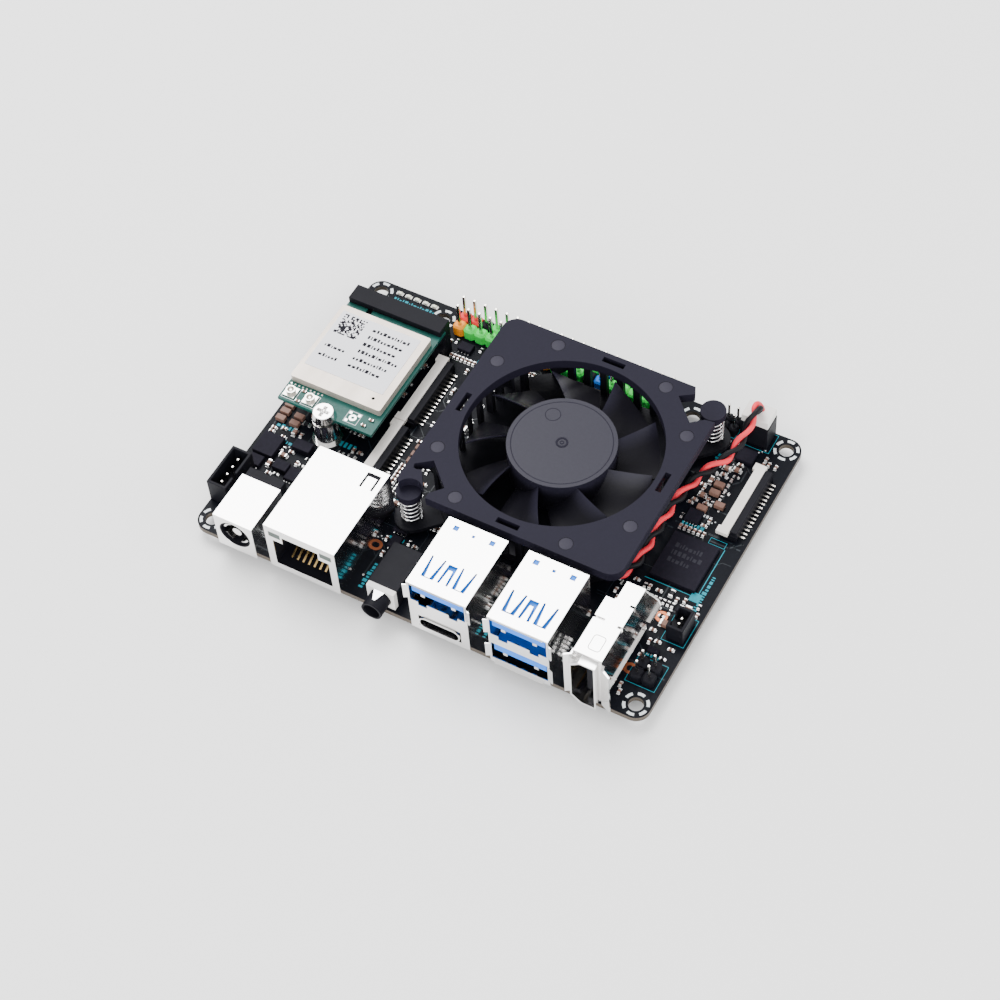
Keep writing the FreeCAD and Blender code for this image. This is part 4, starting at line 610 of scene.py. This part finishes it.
KINDS = {
    # length, width, height, end length, body
    "r0402": (1.0, 0.5, 0.32, 0.22, "resistor"),
    "c0402": (1.0, 0.5, 0.5, 0.24, "ceramic"),
    "c0603": (1.6, 0.8, 0.8, 0.34, "ceramic"),
    "c0805": (2.0, 1.25, 1.0, 0.42, "ceramic"),
    "r0603": (1.6, 0.8, 0.45, 0.3, "resistor"),
    "bead": (1.6, 0.8, 0.8, 0.3, "ferrite"),
}


def passive(mesh, x, y, kind, upright):
    length, width, height, end, body = KINDS[kind]
    heading = math.pi / 2 if upright else 0.0
    half, side = length / 2, width / 2
    place = {"at": (x, y), "heading": heading}
    mesh.slab((-half + end, -side, 0.03), (half - end, side, height), body, 0.03, **place)
    for sign in (-1, 1):
        low, high = sorted((sign * half, sign * (half - end)))
        mesh.slab((low, -side - 0.01, 0.02), (high, side + 0.01, height + 0.012), "tin", 0.03, **place)
        low, high = sorted((sign * (half - end), sign * (half + 0.22)))
        mesh.slab((low, -side - 0.06, 0.0), (high, side + 0.06, 0.11), "solder", 0.05, **place)


def small_parts():
    ground = Ground()
    mesh = Mesh("small_passives", "resistor", "ceramic", "ferrite", "tin", "solder")
    chips = Mesh("small_packages", "chip_epoxy", "tin", "ferrite", "lamp", "white_plastic")

    def package(x, y, length, width, height, legs, body="chip_epoxy"):
        """A small moulded package with legs or pads along two sides."""
        if not ground.free(x, y, x + length, y + width):
            return
        ground.take(x - 0.3, y - 0.3, x + length + 0.3, y + width + 0.3)
        chips.slab((x, y, 0.08), (x + length, y + width, height), body, 0.1)
        for number in range(legs):
            along = x + length * (number + 0.5) / legs
            chips.slab((along - 0.13, y - 0.32, 0.0), (along + 0.13, y + 0.1, 0.16), "tin", 0.03)
            chips.slab((along - 0.13, y + width - 0.1, 0.0), (along + 0.13, y + width + 0.32, 0.16), "tin", 0.03)

    for args in ((1.6, 17.6, 3.0, 2.6, 0.9, 3), (10.6, 17.4, 3.6, 3.2, 0.9, 6), (16.9, 23.2, 2.6, 2.6, 0.8, 5),
                 (2.2, 35.2, 4.2, 3.6, 1.1, 6), (8.0, 36.0, 5.2, 5.2, 0.9, 9), (15.0, 38.0, 4.0, 4.0, 1.6, 0, "ferrite"),
                 (7.0, 28.2, 3.0, 2.4, 0.9, 4), (87.8, 50.9, 2.2, 1.3, 0.8, 3), (86.3, 44.6, 3.0, 3.0, 0.8, 5),
                 (90.2, 57.0, 2.4, 1.4, 0.8, 3), (93.6, 64.6, 3.0, 2.0, 0.9, 4), (37.4, 12.8, 2.2, 2.8, 0.8, 3),
                 (36.6, 16.6, 3.2, 1.6, 0.9, 4), (46.9, 13.2, 2.6, 2.6, 0.8, 4), (83.0, 17.6, 1.8, 2.8, 0.8, 3),
                 (93.6, 14.0, 2.2, 1.3, 0.8, 3), (93.0, 1.4, 2.2, 1.3, 0.8, 3), (64.9, 5.6, 2.2, 1.2, 0.7, 3),
                 (31.0, 55.2, 3.0, 3.0, 0.9, 5), (30.8, 39.4, 3.4, 2.2, 0.9, 4), (25.4, 62.2, 3.0, 2.2, 0.9, 4),
                 (44.0, 61.4, 3.2, 1.2, 0.8, 4), (12.2, 63.8, 3.6, 2.4, 0.9, 5), (3.4, 63.6, 3.2, 2.2, 0.9, 4)):
        package(*args)
    for step in range(5):
        x = 6.2 + 2.1 * step
        chips.slab((x, 69.8, 0.0), (x + 1.6, 70.6, 0.25), "white_plastic", 0.05)
        chips.slab((x + 0.35, 69.85, 0.2), (x + 1.25, 70.55, 0.6), "lamp", 0.12)
    ground.take(5.5, 69.0, 17.5, 71.0)

    rows = [  # neat rows, as such boards have them: first place, step, count, kind, standing across the row
        ((30.4, 24.6), (0, 0.95), 16, "c0402", False), ((32.2, 24.6), (0, 0.95), 14, "r0402", False),
        ((24.0, 60.4), (0.9, 0), 8, "c0402", True), ((24.2, 64.3), (0.95, 0), 7, "r0402", True),
        ((40.0, 63.2), (0.95, 0), 24, "c0402", True), ((64.6, 63.6), (0.95, 0), 12, "r0402", True),
        ((86.4, 43.0), (1.0, 0), 6, "c0402", True),
        ((85.0, 21.2), (0.95, 0), 7, "c0402", True), ((88.6, 25.6), (0.95, 0), 6, "r0402", True),
        ((18.2, 22.2), (0.95, 0), 5, "c0402", True), ((18.2, 24.2), (0.95, 0), 5, "r0402", True),
        ((2.0, 24.0), (0, 0.95), 5, "c0402", False), ((92.0, 43.6), (0, 0.95), 18, "r0402", False),
        ((90.4, 44.4), (0, 1.3), 9, "c0603", False), ((37.2, 20.8), (0.95, 0), 12, "c0402", True),
        ((65.9, 12.6), (0, 0.95), 4, "c0402", False), 
        ((82.9, 6.2), (0, 0.95), 5, "r0402", False),
    ]
    for (x, y), (dx, dy), count, kind, upright in rows:
        length, width = KINDS[kind][:2]
        half, side = (width / 2, length / 2) if upright else (length / 2, width / 2)
        for number in range(count):
            px, py = x + dx * number, y + dy * number
            if ground.free(px - half, py - side, px + half, py + side):
                ground.take(px - half, py - side, px + half, py + side)
                passive(mesh, px, py, kind, upright)
    for row, length in enumerate((5.6, 6.4, 4.8)):
        chips.ticks(87.8, 37.6 - 1.8 * row, length, "ferrite", z=1.0, tall=1.1)
    zones = [(0.8, 17.2, 18.6, 30.5, 60), (18.6, 21.4, 24.0, 31.0, 22), (29.8, 21.6, 38.0, 62.0, 90),
             (35.8, 9.0, 50.6, 21.4, 16), (1.0, 31.0, 22.0, 58.0, 50), (1.0, 62.8, 80.0, 71.0, 70),
             (84.8, 41.8, 93.2, 66.6, 90), (64.0, 9.0, 68.0, 20.0, 5), (81.2, 16.0, 85.4, 29.0, 14),
             (92.0, 1.0, 98.8, 28.0, 46), (86.0, 19.0, 99.0, 29.0, 40), (93.8, 62.6, 99.2, 67.0, 14)]
    names = ["r0402", "c0402", "c0402", "c0603", "r0603", "bead", "c0805"]
    weights = [10, 10, 6, 4, 2, 1, 1]
    for x0, y0, x1, y1, count in zones:
        for _ in range(count * 2):
            kind = random.choices(names, weights)[0]
            upright = random.random() < 0.5
            length, width = KINDS[kind][:2]
            half, side = (width / 2, length / 2) if upright else (length / 2, width / 2)
            px = round(random.uniform(x0 + half, x1 - half) / 0.5) * 0.5
            py = round(random.uniform(y0 + side, y1 - side) / 0.5) * 0.5
            if ground.free(px - half - 0.15, py - side - 0.15, px + half + 0.15, py + side + 0.15):
                ground.take(px - half, py - side, px + half, py + side)
                passive(mesh, px, py, kind, upright)
    mesh.done()
    chips.done()


# ---------------------------------------------------------------- radio card

def radio_card():
    top = (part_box("wifi_board")[1].z - CORNER.z) / MM
    card = Mesh("card_print", "silk", "tin", "ceramic")
    for x, y, side in ((4.2, 32.5, 1.6), (8.7, 32.5, 1.6), (18.6, 32.6, 1.5)):
        card.frame(x - side, y - side, x + side, y + side, 0.12, "silk", z=top + 0.004)
    card.ring((18.6, 32.6, top), 0.35, 0.8, 0.02, "tin", parts=24)
    for dx, dy in ((-1.0, -1.0), (1.0, 1.0), (-1.0, 1.0)):
        card.slab((18.3 + dx, 32.3 + dy, top), (18.9 + dx, 32.9 + dy, top + 0.02), "tin")
    for number in range(9):
        card.disc((2.9 + 0.9 * number, 34.75, top), ((0.2, 0.0), (0.2, 0.02)), "tin", parts=10)
    for number in range(5):
        card.slab((8.6 + 1.9 * number, 56.9, top), (9.5 + 1.9 * number, 57.3, top + 0.02), "silk")
    for x, y in ((21.6, 31.8), (22.4, 33.6), (6.45, 31.2), (6.45, 33.9)):
        card.slab((x - 0.5, y - 0.25, top), (x + 0.5, y + 0.25, top + 0.4), "ceramic", 0.04)
        for sign in (-1, 1):
            low, high = sorted((x + sign * 0.5, x + sign * 0.28))
            card.slab((low, y - 0.26, top), (high, y + 0.26, top + 0.41), "tin", 0.03)
    card.done()
    label_top = (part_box("wifi_label")[1].z - CORNER.z) / MM
    marks = Mesh("label_marks", "ink")
    cells = random.Random(3)
    side = 0.33
    for row in range(16):
        for column in range(16):
            if cells.random() < 0.55:
                x, y = 4.3 + side * column, 54.2 - side * (row + 1)
                marks.slab((x, y, label_top), (x + side, y + side, label_top + 0.008), "ink")
    for number in range(6):
        marks.ticks(11.6, 52.4 - 2.0 * number, 8.8 - 0.9 * (number % 3), "ink", z=label_top, tall=0.85)
    for number in range(2):
        marks.ticks(4.6, 45.0 - 2.6 * number, 4.2, "ink", z=label_top, tall=0.8)
    marks.done()


# ---------------------------------------------------------------- contacts inside the sockets

def socket_contacts():
    mesh = Mesh("socket_contacts", "gold", "tin", "silk")
    for left, low in ((51.0, 9.5), (68.2, 9.5), (68.2, 1.4)):
        underside = low + 5.1 - 2.3 - 0.3
        for number in range(4):
            x = left + 6.4 + (number - 1.5) * 2.4
            mesh.slab((x - 0.5, 0.0, underside - 0.04), (x + 0.5, 7.8, underside), "gold")
        for x in (left + 3.1, left + 9.7):
            mesh.slab((x - 0.45, -0.35, underside - 0.9), (x + 0.45, 1.2, underside - 0.05), "tin", 0.1)
    for number in range(19):
        z = 3.0 + 0.46 * number
        mesh.slab((87.96, 1.0, z), (88.0, 7.0, z + 0.24), "gold")
    for number in range(12):
        x = 51.0 + 6.4 + (number - 5.5) * 0.5
        mesh.slab((x - 0.12, 0.0, 3.53), (x + 0.12, 4.6, 3.56), "gold")
    leaf = [spot(*corner) for z in (4.72, 4.82) for corner in (
        (42.3, 0.55, z), (44.6, 0.55, z), (43.7, -1.7, z), (43.2, -1.7, z))]
    mesh.faces(leaf, ((3, 2, 1, 0), (4, 5, 6, 7), (0, 1, 5, 4), (1, 2, 6, 5), (2, 3, 7, 6), (3, 0, 4, 7)), "tin")
    for x in (0.9, 3.6):
        mesh.slab((x, 6.98, 2.6), (x + 0.3, 7.0, 5.6), "silk")
    mesh.done()


# ---------------------------------------------------------------- fan details

def fan_details():
    x, y = 61.15, 42.0
    top = (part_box("fan_rotor")[1].z - CORNER.z) / MM
    hub = Mesh("hub_marks", "fan_plastic")
    hub.ring((x, y, top - 0.02), 0.85, 1.25, 0.14, "fan_plastic", parts=36, lean=0.05)
    hub.ring((x, y, top - 0.02), 0.25, 0.45, 0.10, "fan_plastic", parts=24, lean=0.03)
    hub.ring((x - 4.8, y + 5.3, top - 0.03), 1.45, 1.6, 0.06, "fan_plastic", parts=32, lean=0.02)
    hub.ring((x, y, top - 0.03), 9.9, 10.1, 0.05, "fan_plastic", parts=90, lean=0.02)
    hub.done(body="fan_rotor", smooth=True)
    rivets = Mesh("rivet_heads", "rivet", "black_plastic")
    plate = (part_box("fan_cover")[1].z - CORNER.z) / MM
    for dx in (-1, 1):
        for dy in (-1, 1):
            for a, b in ((12, 21), (21, 12)):
                centre = (x + dx * a, y + dy * b)
                rivets.disc((*centre, plate - 0.5), ((1.38, 0.0), (1.38, 0.44), (1.30, 0.52), (0.9, 0.58), (0.3, 0.6)),
                            "rivet", parts=32)
                # A thin black ring in the gap round each head: painted shade where the head sits in its hole.
                rivets.ring((*centre, plate - 0.3), 1.385, 1.445, 0.28, "black_plastic", parts=32)
    rivets.done(smooth=True)
    body = Mesh("rivet_bodies", "rivet")
    for dx in (-1, 1):
        for dy in (-1, 1):
            for a, b in ((12, 21), (21, 12)):
                body.disc((x + dx * a, y + dy * b, 9.0), ((1.2, 0.0), (1.38, 0.3), (1.38, plate - 9.55)), "rivet",
                          parts=24)
    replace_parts(body.done(smooth=True), "cover_rivets")


# ---------------------------------------------------------------- underside

def underside():
    mesh = Mesh("underside_parts", "ceramic", "resistor", "ferrite", "tin", "solder", "silk", "chip_epoxy", "trace")
    lanes = random.Random(23)
    bottom = -1.2
    spots = []

    def clear(x, y, r):
        return all(math.hypot(x - px, y - py) > r + pr for px, py, pr in spots)

    for x, y in FIXINGS:
        spots.append((x, y, 3.4))
        for step in range(6):
            mesh.ring((x, y, bottom - 0.016), 2.0, 2.6, 0.012, "silk", parts=6,
                      span=(60 * step + 12, 60 * step + 48))
    for x, y in ((39.15, 20.15), (83.15, 63.85)):
        spots.append((x, y, 3.2))
        mesh.ring((x, y, bottom - 0.014), 1.62, 2.4, 0.010, "tin", parts=32)
    for x0, y0, x1, y1, gap in ((22, 66, 73, 71, 2.2), (6, -1, 18, 16, 2.2), (19, -1, 36, 20, 2.2),
                                (50, 0, 82, 17, 2.2), (0, 6, 5, 17, 2.0), (86, 66, 94, 72, 2.0), (84, 0, 96, 18, 2.0)):
        step = x0
        while step <= x1:
            row = y0
            while row <= y1:
                spots.append((step, row, gap / 2))
                row += gap
            step += gap
    for x, y, side, height in ((44, 34, 12, 1.0), (60, 34, 9, 0.9), (20, 36, 8, 0.9), (78, 40, 7, 0.9)):
        mesh.slab((x, y, bottom - height), (x + side, y + side * 0.8, bottom - 0.06), "chip_epoxy", 0.0)
        spots.append((x + side / 2, y + side * 0.4, side * 0.75))
    for _ in range(420):
        x, y = lanes.uniform(2, 98), lanes.uniform(2, 70)
        kind = lanes.choice(("ceramic", "resistor", "ceramic", "ferrite"))
        length, width, height = lanes.choice(((1.0, 0.5, 0.4), (1.6, 0.8, 0.6), (2.0, 1.25, 0.8)))
        if not clear(x, y, length * 0.75):
            continue
        spots.append((x, y, length * 0.75))
        heading = lanes.choice((0, math.pi / 2))
        place = {"at": (x, y), "heading": heading}
        mesh.slab((-length / 2, -width / 2, bottom - height), (length / 2, width / 2, bottom - 0.02), kind, **place)
        for sign in (-1, 1):
            a, b = sorted((sign * length / 2 * 1.02, sign * length * 0.28))
            mesh.slab((a, -width / 2 - 0.02, bottom - height - 0.01), (b, width / 2 + 0.02, bottom), "tin", **place)
            a, b = sorted((sign * length * 0.3, sign * (length / 2 + 0.25)))
            mesh.slab((a, -width / 2 - 0.06, bottom - 0.1), (b, width / 2 + 0.06, bottom), "solder", **place)
    for x, y, length in ((8, 22, 9), (30, 60, 12), (88, 24, 8), (60, 62, 14), (10, 50, 8)):
        along = 0.0
        while along < length:
            width = lanes.choice((0.3, 0.5, 0.8))
            mesh.slab((x + along, y, bottom - 0.014), (x + along + width, y + 1.0, bottom - 0.002), "silk")
            along += width + 0.35
    mesh.done()


def panel_groove_painted_shade():
    """A dark line along the outline of the raised panel pressed into the display socket's roof, painted shade in the
    panel's groove.
    """
    top = (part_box("hdmi_shell")[1].z - CORNER.z) / MM
    x0, y0, x1, y1, r = 87.7, 1.8, 90.1, 5.2, 0.6
    points = []
    for cx, cy, start in ((x1 - r, y1 - r, 0), (x0 + r, y1 - r, 90), (x0 + r, y0 + r, 180), (x1 - r, y0 + r, 270)):
        points += [(cx + r * math.cos(math.radians(start + 30 * step)),
                    cy + r * math.sin(math.radians(start + 30 * step))) for step in range(4)]
    mesh = Mesh("panel_groove_painted_shade", "groove")
    mesh.ribbon(points + points[:1], 0.14, "groove", z=top - 0.01, thick=0.03)
    mesh.done()


board_print()
panel_groove_painted_shade()
small_parts()
radio_card()
socket_contacts()
fan_details()
underside()


# ---------------------------------------------------------------- floor and light

def studio():
    floor_mesh = bpy.data.meshes.new("studio_floor")
    work = bmesh.new()
    reach = 3.0
    level = cad_box[0].z - 0.0001
    corners = [work.verts.new((x, y, level)) for x, y in ((-reach, -reach), (reach, -reach), (reach, reach), (-reach, reach))]
    work.faces.new(corners)
    work.to_mesh(floor_mesh)
    work.free()
    floor_mesh.materials.append(EXTRA["floor"])
    floor = bpy.data.objects.new("studio_floor", floor_mesh)
    bpy.context.scene.collection.objects.link(floor)
    for name, place, aim, side, power in (
            ("key_light", (-0.35, 0.25, 0.75), (0, 0, 0), 0.55, 11.0),
            ("front_light", (0.25, -0.75, 0.42), (0, 0, 0), 0.45, 6.0),
            ("side_light", (0.75, 0.15, 0.35), (0, 0, 0), 0.40, 2.0)):
        light_data = bpy.data.lights.new(name, "AREA")
        light_data.shape = "SQUARE"
        light_data.size = side
        light_data.energy = power
        light = bpy.data.objects.new(name, light_data)
        light.location = place
        light.rotation_euler = (Vector(aim) - Vector(place)).to_track_quat("-Z", "Y").to_euler()
        bpy.context.scene.collection.objects.link(light)
    world = bpy.data.worlds.new("studio_world")
    world.use_nodes = True
    world.node_tree.nodes["Background"].inputs["Color"].default_value = (1, 1, 1, 1)
    world.node_tree.nodes["Background"].inputs["Strength"].default_value = 1.25
    bpy.context.scene.world = world


studio()
